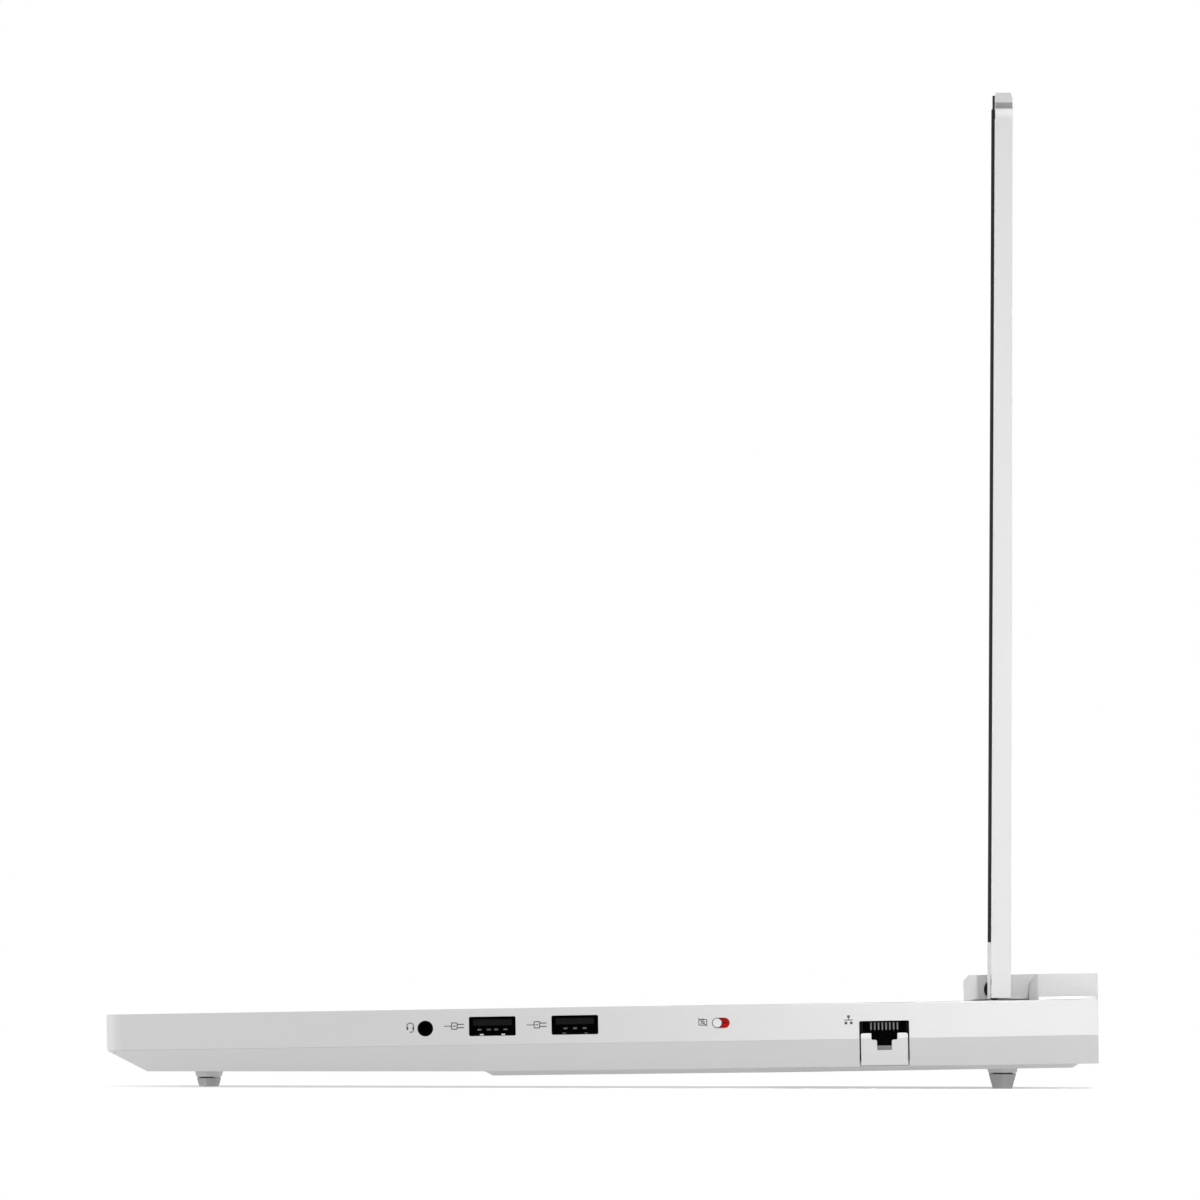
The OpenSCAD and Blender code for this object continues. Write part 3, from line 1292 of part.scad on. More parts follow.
// ================= Sockets on the left side =================
module power_inlet() {
  color(black) mirror([1, 0, 0]) deck() translate([wall_x, inlet_y, -port_w]) {
    difference() {
      box([-11, -6.6, board_top + port_w], [0, 6.6, 3.2]);
      box([-9.5, -5.6, -2.4], [1, 5.6, 2.4]);
    }
    box([-10, -4.2, -0.6], [-1, 4.2, 0.6]);
  }
}
module video_socket() {
  color(steel) mirror([1, 0, 0]) deck() translate([wall_x, video_y, -port_w]) {
    difference() {
      box([-11, -8.2, board_top + port_w], [0, 8.2, 3.1]);
      translate([-9.8, 0, 0]) along_x(12) video_outline(0);
    }
    box([-10, -5.4, -0.1], [-1, 5.4, 1.1]);
  }
}
module usb_c_sockets() {
  color(steel) mirror([1, 0, 0]) deck() for (i = [0, 1])
    translate([wall_x, usbc_rear_y - i * usbc_pitch, -port_w]) {
      difference() {
        box([-8, -5.2, board_top + port_w], [0, 5.2, 2.3]);
        translate([-7, 0, 0]) along_x(9) pill(9.1, 3.4);
      }
      box([-7.2, -3.3, -0.35], [-0.8, 3.3, 0.35]);
    }
}

// ================= Output =================
top_case();
bottom_cover();
rear_cover();
hinge_cap(false);  // hinge_cap_left
hinge_cap(true);  // hinge_cap_right
exhaust_grille(false);  // exhaust_grille_left
exhaust_grille(true);  // exhaust_grille_right
intake_grilles();
keyboard_plate();
front_foot();
rear_foot();
motherboard();
battery_pack();
heat_spreader();
heat_pipes();
fin_stack(false);  // fin_stack_left
fin_stack(true);  // fin_stack_right
fan_housing(false);  // fan_housing_left
fan_housing(true);  // fan_housing_right
storage_drive();
memory_modules();
wireless_card();
speaker(false);  // speaker_left
speaker(true);  // speaker_right
hinge_bracket(false);  // hinge_bracket_left
hinge_bracket(true);  // hinge_bracket_right
audio_jack();
usb_socket_front();
usb_socket_rear();
network_socket();
shutter_slot();
power_inlet();
video_socket();
usb_c_sockets();
usb_socket_left();
bottom_screws();
lid_cover();
display_bezel();
bezel_gasket();
display_panel();
chin_strip();
camera_module();
hinge_arm(false);  // hinge_arm_left
hinge_arm(true);  // hinge_arm_right
power_button();
touchpad();
shutter_slider();
network_jaw();
fan_rotor(false);  // fan_rotor_left
fan_rotor(true);  // fan_rotor_right
color(white) keys(fn_keys);  // function_row_keys
color(white) keys(number_keys);  // number_row_keys
color(white) keys(upper_keys);  // upper_row_keys
color(white) keys(home_keys);  // home_row_keys
color(white) keys(lower_keys);  // lower_row_keys
color(white) keys(bottom_keys);  // bottom_row_keys
color(white) keys(space_keys);  // space_bar
color(white) keys(arrow_cluster);  // arrow_keys
color(white) keys(number_pad);  // number_pad_keys
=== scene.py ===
"""The looks of a laptop computer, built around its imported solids.

Everything stands in the part's own frame: X to the user's right, Y to the back and Z up, in metres.
Pieces are drawn in millimetres, in the frame of the deck or of the lid, and placed once they are whole.
"""

import json
import logging
import math
from dataclasses import dataclass
from enum import Enum
from functools import lru_cache
from typing import Any, Callable, Iterable, Optional, Sequence

import bmesh
import bpy
from mathutils import Matrix, Vector
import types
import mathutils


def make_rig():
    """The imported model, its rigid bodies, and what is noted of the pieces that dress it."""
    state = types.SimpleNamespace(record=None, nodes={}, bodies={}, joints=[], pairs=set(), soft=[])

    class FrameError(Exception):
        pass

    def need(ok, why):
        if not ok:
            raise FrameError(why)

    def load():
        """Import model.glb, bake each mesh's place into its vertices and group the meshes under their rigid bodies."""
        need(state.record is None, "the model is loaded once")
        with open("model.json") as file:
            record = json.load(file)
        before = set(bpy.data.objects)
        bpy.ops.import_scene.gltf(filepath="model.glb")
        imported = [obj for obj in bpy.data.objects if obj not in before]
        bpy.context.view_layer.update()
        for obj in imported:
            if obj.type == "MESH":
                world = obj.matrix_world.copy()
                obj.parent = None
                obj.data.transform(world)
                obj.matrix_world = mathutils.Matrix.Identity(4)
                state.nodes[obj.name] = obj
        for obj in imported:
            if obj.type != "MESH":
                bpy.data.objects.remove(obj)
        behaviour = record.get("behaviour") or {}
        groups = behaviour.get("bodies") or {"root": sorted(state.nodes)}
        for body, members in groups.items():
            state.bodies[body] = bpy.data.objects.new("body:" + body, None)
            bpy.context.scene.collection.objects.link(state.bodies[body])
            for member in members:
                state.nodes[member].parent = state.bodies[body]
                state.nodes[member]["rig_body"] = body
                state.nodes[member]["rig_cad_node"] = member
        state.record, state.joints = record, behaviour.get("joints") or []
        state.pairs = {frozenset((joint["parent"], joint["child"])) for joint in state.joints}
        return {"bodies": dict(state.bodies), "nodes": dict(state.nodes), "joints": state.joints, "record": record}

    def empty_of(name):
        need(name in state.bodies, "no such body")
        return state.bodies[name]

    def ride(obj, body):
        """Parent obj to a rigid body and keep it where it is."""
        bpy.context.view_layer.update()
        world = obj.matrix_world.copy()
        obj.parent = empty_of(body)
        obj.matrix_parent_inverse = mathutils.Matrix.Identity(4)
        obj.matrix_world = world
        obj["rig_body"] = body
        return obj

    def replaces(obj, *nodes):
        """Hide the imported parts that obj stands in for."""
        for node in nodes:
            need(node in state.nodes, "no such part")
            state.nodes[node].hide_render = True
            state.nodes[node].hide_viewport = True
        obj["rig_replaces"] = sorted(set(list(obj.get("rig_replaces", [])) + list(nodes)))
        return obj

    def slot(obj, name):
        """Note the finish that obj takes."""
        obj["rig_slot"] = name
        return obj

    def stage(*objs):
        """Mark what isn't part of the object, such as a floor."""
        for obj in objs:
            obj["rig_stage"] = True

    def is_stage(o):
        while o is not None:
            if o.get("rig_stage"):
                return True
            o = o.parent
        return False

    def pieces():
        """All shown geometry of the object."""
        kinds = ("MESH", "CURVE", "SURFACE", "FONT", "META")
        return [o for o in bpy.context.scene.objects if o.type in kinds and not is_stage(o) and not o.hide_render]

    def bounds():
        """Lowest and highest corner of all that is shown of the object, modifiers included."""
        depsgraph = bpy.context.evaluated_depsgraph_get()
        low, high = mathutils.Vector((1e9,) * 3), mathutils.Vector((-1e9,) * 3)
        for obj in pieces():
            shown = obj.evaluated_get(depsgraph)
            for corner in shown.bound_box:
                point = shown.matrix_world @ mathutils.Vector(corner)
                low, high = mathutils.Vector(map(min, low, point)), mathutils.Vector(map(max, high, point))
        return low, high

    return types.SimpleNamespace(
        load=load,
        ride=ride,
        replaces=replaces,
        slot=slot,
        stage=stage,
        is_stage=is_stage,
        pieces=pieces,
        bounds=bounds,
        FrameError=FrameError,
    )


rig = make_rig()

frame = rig.load()
CAD_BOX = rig.bounds()

log = logging.getLogger("laptop")
MM = 0.001
SIZE_FILE = "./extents.json"
Point2 = tuple[float, float]
Point3 = Sequence[float]
EdgeTest = Callable[[bmesh.types.BMEdge], bool]


# ---------------------------------------------------------------- frames

def joint(name: str) -> dict:
    """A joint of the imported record, by its name."""
    return next(j for j in frame["joints"] if j["name"] == name)


@dataclass(frozen=True)
class Place:
    """A frame that pieces are drawn in, in millimetres.

    Attributes:
        matrix: Takes a drawn point to the part's frame, in metres.
    """

    matrix: Matrix

    def __hash__(self) -> int:
        """Places are told apart by their own identity."""
        return id(self)

    @staticmethod
    def at(origin: Vector, slope: float = 0.0) -> "Place":
        """A frame at an origin in metres, whose y axis rises by a slope in radians."""
        return Place(Matrix.Translation(origin) @ Matrix.Rotation(slope, 4, "X") @ Matrix.Scale(MM, 4))

    def point(self, x: float, y: float, z: float) -> Vector:
        """A drawn point, in the part's frame."""
        return self.matrix @ Vector((x, y, z))

    def shifted(self, x: float, y: float, z: float, mirrored: bool = False) -> "Place":
        """A frame at a point of this one, with its x axis turned to the left if mirrored."""
        flip = Matrix.Diagonal((-1 if mirrored else 1, 1, 1, 1))
        return Place(self.matrix @ Matrix.Translation((x, y, z)) @ flip)

    @lru_cache
    def node_box(self, node: str) -> tuple[Vector, Vector]:
        """A CAD node's lowest and highest corners, as this frame gives them."""
        back = self.matrix.inverted()
        points = [back @ v.co for v in frame["nodes"][node].data.vertices]
        return (Vector([min(p[i] for p in points) for i in range(3)]),
                Vector([max(p[i] for p in points) for i in range(3)]))


def deck_place() -> Place:
    """The deck's frame: y runs up the sloping deck from its middle, and height 0 is its surface."""
    normal = Vector(joint("fan_spin_right")["axis"])
    slope = math.atan2(-normal.y, normal.z)
    along = Vector((0, math.cos(slope), math.sin(slope)))
    corners = [v.co for v in frame["nodes"]["top_case"].data.vertices]
    reach = [along.dot(c) for c in corners]
    top = max(normal.dot(c) for c in corners)
    return Place.at(normal * top + along * (min(reach) + max(reach)) / 2, slope)


DECK = deck_place()
LID = Place.at(Vector(joint("lid_hinge")["pos_m"]))
TABLE = Place(Matrix.Scale(MM, 4))


# ---------------------------------------------------------------- finishes

def linear(colour: str) -> tuple[float, float, float, float]:
    """An sRGB hex colour as linear light.

    Args:
        colour: Six hex digits after a hash sign.

    Returns:
        Red, green, blue and a full alpha.
    """
    parts = [int(colour[i:i + 2], 16) / 255 for i in (1, 3, 5)]
    red, green, blue = (c / 12.92 if c <= 0.04045 else ((c + 0.055) / 1.055) ** 2.4 for c in parts)
    return red, green, blue, 1.0


def add_node(tree: bpy.types.NodeTree, kind: str, settings: Optional[dict[str, Any]] = None,
             **links: bpy.types.NodeSocket) -> bpy.types.Node:
    """Adds a shader node.

    Args:
        tree: The tree that the node goes into.
        kind: The node's type, without "ShaderNode".
        settings: Values for the node's own settings, or for its unlinked inputs by name.
        **links: Sockets that feed its inputs, by the input's name with _ for a space.

    Returns:
        The new node.
    """
    node = tree.nodes.new("ShaderNode" + kind)
    for name, value in (settings or {}).items():
        if hasattr(node, name):
            setattr(node, name, value)
        else:
            node.inputs[name].default_value = value
    for name, socket in links.items():
        tree.links.new(socket, node.inputs[name.replace("_", " ")])
    return node


class Grain(Enum):
    """How a surface's fine relief was made."""

    SPRAYED = "sprayed"
    SPARKED = "sparked"
    BRUSHED = "brushed"
    ROLLED = "rolled"
    POLISHED = "polished"


@dataclass(frozen=True)
class Finish:
    """One real surface: its material, its colour and how it was made.

    Attributes:
        name: What the material and its process are called.
        colour: Its sRGB colour.
        roughness: How wide its highlight is, before the grain.
        grain: How its relief was made.
        size_mm: Width of one grain, or the spacing of its brush lines.
        relief_mm: Height of the grain.
        metallic: 1 for a bare metal.
        ior: Its index of refraction, where it isn't a metal.
        mottle: How far its colour strays from place to place.
        coat: Weight of a clear layer over it.
        gloss: Strength of its own mirror layer; 0.5 is a clean surface, less a dusty or carbon-filled one.
    """

    name: str
    colour: str
    roughness: float
    grain: Grain = Grain.SPARKED
    size_mm: float = 0.4
    relief_mm: float = 0.006
    metallic: float = 0.0
    ior: float = 1.5
    mottle: float = 0.02
    coat: float = 0.0
    gloss: float = 0.5

    def material(self) -> bpy.types.Material:
        """The Blender material, made once and then found again by its name."""
        found = bpy.data.materials.get(self.name)
        return found or self.build()

    def build(self) -> bpy.types.Material:
        """Makes the material's nodes.

        Returns:
            A new material with colour, roughness and relief from its own grain.
        """
        made = bpy.data.materials.new(self.name)
        made.use_nodes = True
        tree = made.node_tree
        shader = tree.nodes["Principled BSDF"]
        shader.inputs["Metallic"].default_value = self.metallic
        if not self.metallic:
            shader.inputs["IOR"].default_value = self.ior
            shader.inputs["Specular IOR Level"].default_value = self.gloss
        shader.inputs["Coat Weight"].default_value = self.coat
        place = add_node(tree, "TexCoord").outputs["Object"]
        self.paint(tree, shader, place)
        self.roughen(tree, shader, place)
        return made

    def paint(self, tree: bpy.types.NodeTree, shader: bpy.types.Node, place: bpy.types.NodeSocket) -> None:
        """Links the colour: the base colour, strayed by a slow cloud."""
        colour = linear(self.colour)
        cloud = add_node(tree, "TexNoise", {"Scale": 1 / (CLOUD_MM * MM), "Detail": 3.0}, Vector=place)
        darker = tuple(c * (1 - self.mottle) for c in colour[:3]) + (1.0,)
        lighter = tuple(min(1.0, c * (1 + self.mottle)) for c in colour[:3]) + (1.0,)
        ramp = add_node(tree, "ValToRGB", Fac=cloud.outputs["Fac"])
        for stop, shade in zip(ramp.color_ramp.elements, (darker, lighter)):
            stop.color = shade
        tree.links.new(ramp.outputs["Color"], shader.inputs["Base Color"])

    def roughen(self, tree: bpy.types.NodeTree, shader: bpy.types.Node, place: bpy.types.NodeSocket) -> None:
        """Links the relief and the roughness that its grain gives."""
        height = self.height(tree, place)
        bump = add_node(tree, "Bump", {"Distance": self.relief_mm * MM, "Strength": 1.0}, Height=height)
        tree.links.new(bump.outputs["Normal"], shader.inputs["Normal"])
        spread = add_node(tree, "MapRange", {"To Min": self.roughness * 0.92, "To Max": self.roughness * 1.08},
                          Value=height)
        tree.links.new(spread.outputs["Result"], shader.inputs["Roughness"])

    def height(self, tree: bpy.types.NodeTree, place: bpy.types.NodeSocket) -> bpy.types.NodeSocket:
        """The grain's height, from 0 to 1."""
        if self.grain in (Grain.BRUSHED, Grain.ROLLED):
            stretch = (0.04, 1, 1) if self.grain is Grain.BRUSHED else (0.25, 1, 1)
            place = add_node(tree, "Mapping", {"Scale": stretch}, Vector=place).outputs["Vector"]
        detail = {Grain.SPRAYED: 1.0, Grain.SPARKED: 4.0, Grain.POLISHED: 0.0}.get(self.grain, 2.0)
        return add_node(tree, "TexNoise", {"Scale": 1 / (self.size_mm * MM), "Detail": detail,
                                           "Roughness": 0.6}, Vector=place).outputs["Fac"]


CLOUD_MM = 40.0

# Sprayed PC-ABS: a satin lacquer over a moulded shell, with the faint orange peel of the spray gun
HOUSING = Finish("satin_lacquer_on_pc_abs", "#dcdcdc", 0.40, Grain.SPRAYED, 0.5, 0.004)
# Moulded PC-ABS: left as it came from a spark-eroded mould, a little duller than the lacquer, and a shade darker than
# the deck as painted shade on the lower side wall that faces the floor
BOTTOM = Finish("spark_textured_pc_abs", "#d8d8d8", 0.52, Grain.SPARKED, 0.45, 0.010)
# Aluminium sheet: stamped, blasted and coated white, the finest and smoothest of the white surfaces
LID_COAT = Finish("white_coated_aluminium", "#d6d6d6", 0.36, Grain.SPRAYED, 0.35, 0.003)
# ABS keycaps: moulded, with a matte UV varnish that holds the print
KEYCAP = Finish("varnished_abs_keycap", "#e1e1e1", 0.46, Grain.SPARKED, 0.25, 0.005)
# Legends and pictograms: pad-printed grey ink, flat and dull
INK = Finish("pad_printed_ink", "#454546", 0.6, Grain.SPRAYED, 0.1, 0.001)
# Mylar film on the touchpad: smooth and slightly glossier than the palm rest
PAD_FILM = Finish("white_mylar_film", "#e1e1e1", 0.30, Grain.SPRAYED, 0.3, 0.0015)
# Black ABS: moulded in a spark-eroded mould, which breaks up the gloss around the screen
BEZEL = Finish("spark_textured_black_abs", "#1b1c1e", 0.55, Grain.SPARKED, 0.4, 0.012, gloss=0.3)
# Soft rubber lip round the screen
GASKET = Finish("moulded_black_rubber", "#202123", 0.7, Grain.SPARKED, 0.6, 0.006, gloss=0.3)
# Anti-glare film: a matte etched polariser over the dark panel
SCREEN = Finish("etched_polariser_film", "#060708", 0.34, Grain.SPARKED, 0.12, 0.002, ior=1.49, mottle=0.05)
# Grey TPU feet: soft, matte and slightly dusty
FOOT = Finish("moulded_grey_tpu", "#bababa", 0.75, Grain.SPARKED, 0.5, 0.015, mottle=0.04)
# Grey acetal latch plate in the network socket's jaw: smooth and waxy
LATCH = Finish("moulded_grey_acetal", "#8f8f8f", 0.45, Grain.SPARKED, 0.4, 0.003)
# Black LCP insulator in the sockets: dull, with faint flow lines
INSULATOR = Finish("moulded_black_lcp", "#101011", 0.55, Grain.SPARKED, 0.3, 0.004, gloss=0.12)
# Socket shells: drawn steel under dark nickel
SHELL = Finish("dark_nickel_on_drawn_steel", "#4a4a4c", 0.34, Grain.ROLLED, 0.25, 0.002, metallic=1.0)
# The same shell painted darker, as painted shade where it lies behind a dark opening
SHADED_SHELL = Finish("dark_nickel_on_drawn_steel_painted_shade", "#2a2a2b", 0.42, Grain.ROLLED, 0.25, 0.002, metallic=1.0)
# The camera's lens: coated glass, which shows as a dark, clear dome
LENS = Finish("coated_lens_glass", "#08090b", 0.06, Grain.POLISHED, 0.6, 0.0003, ior=1.7, coat=0.6)
# Contact tips and wires: copper alloy in a dull grey metal, darkened as painted shade inside the sockets
SHADED_CONTACT_METAL = Finish("contact_alloy_painted_shade", "#7d7e80", 0.45, Grain.ROLLED, 0.2, 0.002, metallic=1.0)
# The tail and the chin under the screen: the deck's resin, painted a darker grey than the deck as painted shade for
# the shade that falls on them
TAIL_PAINTED_SHADE = Finish("white_pc_abs_painted_shade", "#c7c7c7", 0.5, Grain.SPARKED, 0.45, 0.006)
# The network socket's jaw: the same white resin, painted lighter than the deck as painted light on its face, which
# slopes down with the lower wall
JAW_PAINTED_LIGHT = Finish("white_pc_abs_painted_light", "#e4e4e4", 0.40, Grain.SPARKED, 0.4, 0.004)
# A bright white strip laid on the shoulder where the tail meets the deck: painted highlight
SHOULDER_HIGHLIGHT = Finish("white_painted_highlight", "#f6f6f6", 0.30, Grain.SPRAYED, 0.5, 0.002)
# Grey bands laid over the lid's rounded upper corners, where the rounding faces up: painted shade
CORNER_SHADE = Finish("grey_painted_corner_shade", "#868686", 0.5, Grain.SPARKED, 0.4, 0.005)
# Contacts: rolled copper alloy under gold flash
CONTACT = Finish("gold_flashed_contact", "#d8c08a", 0.28, Grain.ROLLED, 0.2, 0.001, metallic=1.0)
# Bright springs and latches: rolled stainless steel
SPRING = Finish("rolled_stainless_spring", "#c8c9cb", 0.25, Grain.ROLLED, 0.3, 0.001, metallic=1.0)
# The red of the camera switch: ABS dyed through, moulded satin so that it stays red at a low angle
RED = Finish("satin_red_abs", "#c00b09", 0.45, Grain.POLISHED, 0.5, 0.001, mottle=0.03, gloss=0.15)
# Dark glass-filled nylon: grilles, fans and speaker boxes, rough from its fibres
NYLON = Finish("glass_filled_nylon", "#242528", 0.62, Grain.SPARKED, 0.5, 0.012, mottle=0.08)
# Zinc-plated steel: screws and hinge arms
ZINC = Finish("zinc_plated_steel", "#a7a9ac", 0.36, Grain.ROLLED, 0.3, 0.003, metallic=1.0)
# Black-oxide steel: the hinge brackets and their barrels
OXIDE = Finish("black_oxide_steel", "#26272a", 0.42, Grain.ROLLED, 0.3, 0.003, metallic=1.0, mottle=0.06)
# Stamped aluminium: the keyboard's plate and the fins
PLATE = Finish("stamped_aluminium", "#b9bbbe", 0.38, Grain.BRUSHED, 0.3, 0.003, metallic=1.0)
# Drawn copper: heat pipes and spreader, slightly tarnished in clouds
COPPER = Finish("drawn_copper", "#c07a52", 0.34, Grain.BRUSHED, 0.4, 0.003, metallic=1.0, mottle=0.12)
# Solder mask: glossy green lacquer over glass cloth, which shows as a faint weave
MASK = Finish("solder_mask_on_glass_cloth", "#123a2c", 0.28, Grain.SPARKED, 0.8, 0.008, mottle=0.10)
# Film round the battery's pouch cells
WRAP = Finish("black_pet_film", "#1d1e21", 0.24, Grain.ROLLED, 2.0, 0.02, mottle=0.05)

# Nodes that are shown as a softened copy
SOFTENED_FINISHES: dict[str, Finish] = {
    # The rear cover's and the chin strip's darker grey is painted shade
    "rear_cover": TAIL_PAINTED_SHADE, "hinge_cap_left": HOUSING, "hinge_cap_right": HOUSING, "front_foot": FOOT,
    "rear_foot": FOOT, "intake_grilles": NYLON, "exhaust_grille_left": NYLON, "exhaust_grille_right": NYLON,
    "bottom_screws": ZINC, "touchpad": PAD_FILM, "power_button": KEYCAP, "audio_jack": INSULATOR,
    "power_inlet": INSULATOR, "video_socket": SHELL, "usb_c_sockets": SHELL, "lid_cover": LID_COAT,
    "display_bezel": BEZEL, "bezel_gasket": GASKET, "chin_strip": TAIL_PAINTED_SHADE, "camera_module": INSULATOR,
}
# Nodes inside, which keep their own solids
INSIDE_FINISHES: dict[str, Finish] = {
    "keyboard_plate": PLATE, "motherboard": MASK, "battery_pack": WRAP, "heat_spreader": COPPER,
    "heat_pipes": COPPER, "fin_stack_left": PLATE, "fin_stack_right": PLATE, "fan_housing_left": NYLON,
    "fan_housing_right": NYLON, "storage_drive": MASK, "memory_modules": MASK, "wireless_card": MASK,
    "speaker_left": NYLON, "speaker_right": NYLON, "hinge_bracket_left": OXIDE,
    "hinge_bracket_right": OXIDE, "hinge_arm_left": ZINC, "hinge_arm_right": ZINC,
    "fan_rotor_left": NYLON, "fan_rotor_right": NYLON,
}


# ---------------------------------------------------------------- shapes

def arc(centre: Point2, radius: float, start: float, end: float, steps: int = 6) -> list[Point2]:
    """Points along an arc, from one angle to another in degrees."""
    turns = [math.radians(start + (end - start) * i / steps) for i in range(steps + 1)]
    return [(centre[0] + radius * math.cos(t), centre[1] + radius * math.sin(t)) for t in turns]


def round_rect(width: float, depth: float, radius: float, steps: int = 6,
               centre: Point2 = (0.0, 0.0)) -> list[Point2]:
    """A rectangle's outline with round corners, anticlockwise."""
    x, y = width / 2 - radius, depth / 2 - radius
    corners = [(x, y, 0), (-x, y, 90), (-x, -y, 180), (x, -y, 270)]
    return [p for cx, cy, turn in corners
            for p in arc((centre[0] + cx, centre[1] + cy), radius, turn, turn + 90, steps)]


class Plane(Enum):
    """The plane that a flat outline is drawn in, and the axis that it is raised along."""

    XY = 2
    XZ = 1
    YZ = 0

    def lift(self, point: Point2, height: float) -> Vector:
        """A point of the outline, raised to a height."""
        u, v = point
        return {Plane.XY: Vector((u, v, height)), Plane.XZ: Vector((u, height, v)),
                Plane.YZ: Vector((height, u, v))}[self]


class Shape:
    """A mesh under construction, in millimetres."""

    def __init__(self) -> None:
        """Starts an empty mesh."""
        self.bm = bmesh.new()

    @classmethod
    def of_node(cls, node: str, place: Place) -> "Shape":
        """A copy of a CAD node's mesh, with its triangles merged back into whole faces.

        Args:
            node: The CAD node's name.
            place: The frame that the copy is worked on in.

        Returns:
            The copy. The node itself stays as it is.
        """
        made = cls()
        made.bm.from_mesh(frame["nodes"][node].data)
        made.bm.transform(place.matrix.inverted())
        bmesh.ops.remove_doubles(made.bm, verts=made.bm.verts, dist=0.003)
        bmesh.ops.dissolve_limit(made.bm, angle_limit=math.radians(0.4), verts=made.bm.verts,
                                 edges=made.bm.edges)
        return made

    def loft(self, rings: Sequence[Sequence[Vector]], closed_ends: bool = True) -> "Shape":
        """Skins a row of rings that have as many points each."""
        rows = [[self.bm.verts.new(p) for p in ring] for ring in rings]
        count = len(rows[0])
        for low, high in zip(rows, rows[1:]):
            for i in range(count):
                j = (i + 1) % count
                self.bm.faces.new((low[i], low[j], high[j], high[i]))
        if closed_ends:
            self.bm.faces.new(list(reversed(rows[0])))
            self.bm.faces.new(rows[-1])
        return self

    def prism(self, outline: Sequence[Point2], low: float, high: float, plane: Plane = Plane.XY) -> "Shape":
        """A flat outline raised from one height to another."""
        return self.loft([[plane.lift(p, h) for p in outline] for h in (low, high)])

    def box(self, low: Point3, high: Point3) -> "Shape":
        """A block between two corners."""
        outline = [(low[0], low[1]), (high[0], low[1]), (high[0], high[1]), (low[0], high[1])]
        return self.prism(outline, low[2], high[2])

    def rod(self, centre: Point2, radius: float, low: float, high: float, plane: Plane = Plane.XY,
            steps: int = 32) -> "Shape":
        """A round rod."""
        return self.prism(arc(centre, radius, 0, 360 - 360 / steps, steps - 1), low, high, plane)

    def ring(self, outer: Sequence[Point2], inner: Sequence[Point2], low: float, high: float,
             plane: Plane = Plane.XY) -> "Shape":
        """A frame between two outlines that have as many points each."""
        rings = [[plane.lift(p, h) for p in outline]
                 for outline, h in ((outer, low), (outer, high), (inner, high), (inner, low), (outer, low))]
        return self.loft(rings, closed_ends=False).weld()

    def weld(self, gap: float = 0.0005) -> "Shape":
        """Joins points that lie together."""
        bmesh.ops.remove_doubles(self.bm, verts=self.bm.verts, dist=gap)
        return self

    def add(self, other: "Shape") -> "Shape":
        """Takes another shape in."""
        spare = bpy.data.meshes.new("spare")
        other.bm.to_mesh(spare)
        self.bm.from_mesh(spare)
        bpy.data.meshes.remove(spare)
        return self

    def soften(self, width: float, segments: int = 2, angle: float = 25.0,
               where: Optional[EdgeTest] = None, shortest: float = 0.0, clamp: bool = True) -> "Shape":
        """Rounds the sharp edges.

        Args:
            width: How far the rounding reaches from each edge.
            segments: Faces across the rounding.
            angle: The turn between two faces, in degrees, from which their edge is sharp.
            where: Picks edges. Every sharp edge, if it isn't given.
            shortest: Edges shorter than this stay sharp.
            clamp: Narrows the rounding where it would meet its neighbour.

        Returns:
            The shape itself.
        """
        bmesh.ops.recalc_face_normals(self.bm, faces=self.bm.faces)
        turn = math.radians(angle)
        sharp = [e for e in self.bm.edges
                 if len(e.link_faces) == 2 and e.calc_face_angle(0.0) > turn and e.calc_length() > shortest
                 and (where is None or where(e))]
        if sharp:
            bmesh.ops.bevel(self.bm, geom=sharp, offset=width, offset_type="OFFSET", segments=segments,
                            profile=0.5, affect="EDGES", clamp_overlap=clamp)
        return self

    def piece(self, name: str, finish: Finish, body: str, place: Place, slot: str = "",
              replaces: Iterable[str] = ()) -> bpy.types.Object:
        """Makes the shape an object of the scene.

        Args:
            name: The piece's name.
            finish: What it is made of.
            body: The CAD body that it rides on.
            place: The frame that it was drawn in.
            slot: The record's material slot that it takes its finish from.
            replaces: The CAD nodes that it stands for.

        Returns:
            The new object.
        """
        self.bm.transform(place.matrix)
        bmesh.ops.recalc_face_normals(self.bm, faces=self.bm.faces)
        mesh = bpy.data.meshes.new(name)
        self.bm.to_mesh(mesh)
        self.bm.free()
        for polygon in mesh.polygons:
            polygon.use_smooth = True
        mesh.set_sharp_from_angle(angle=math.radians(40))
        mesh.materials.append(finish.material())
        made = bpy.data.objects.new(name, mesh)
        bpy.context.scene.collection.objects.link(made)
        even = made.modifiers.new("even_shading", "WEIGHTED_NORMAL")
        even.keep_sharp = True
        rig.ride(made, body)
        if slot:
            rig.slot(made, slot)
        nodes = list(replaces)
        if nodes:
            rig.replaces(made, *nodes)
        log.info("%s: %d faces, on %s", name, len(mesh.polygons), body)
        return made


def dress_node(node: str, finish: Finish) -> None:
    """Gives a CAD node that stays in view its finish."""
    mesh = frame["nodes"][node].data
    mesh.materials.clear()
    mesh.materials.append(finish.material())


def slot_of(node: str) -> str:
    """The record's material slot of a CAD node."""
    return next(p["material_slot"] for p in frame["record"]["subparts"] if p["node"] == node)


def softened(node: str, place: Place, body: str, width: float, segments: int = 2,
             shortest: float = 0.0) -> bpy.types.Object:
    """Replaces a CAD node by a copy of itself with its edges rounded."""
    shape = Shape.of_node(node, place).soften(width, segments, shortest=shortest)
    return shape.piece(node + "_finished", SOFTENED_FINISHES[node], body, place, slot_of(node), [node])


def middle(edge: bmesh.types.BMEdge) -> Vector:
    """An edge's middle point."""
    return (edge.verts[0].co + edge.verts[1].co) / 2


def runs_along(edge: bmesh.types.BMEdge, axis: int) -> bool:
    """Whether an edge runs along an axis."""
    way = edge.verts[1].co - edge.verts[0].co
    return abs(way[axis]) > 0.98 * way.length


# Thickness of a printed sign, and the size of the lettering for capitals 1 mm high
PRINT_T = 0.07
CAPITAL_SCALE = 1.42


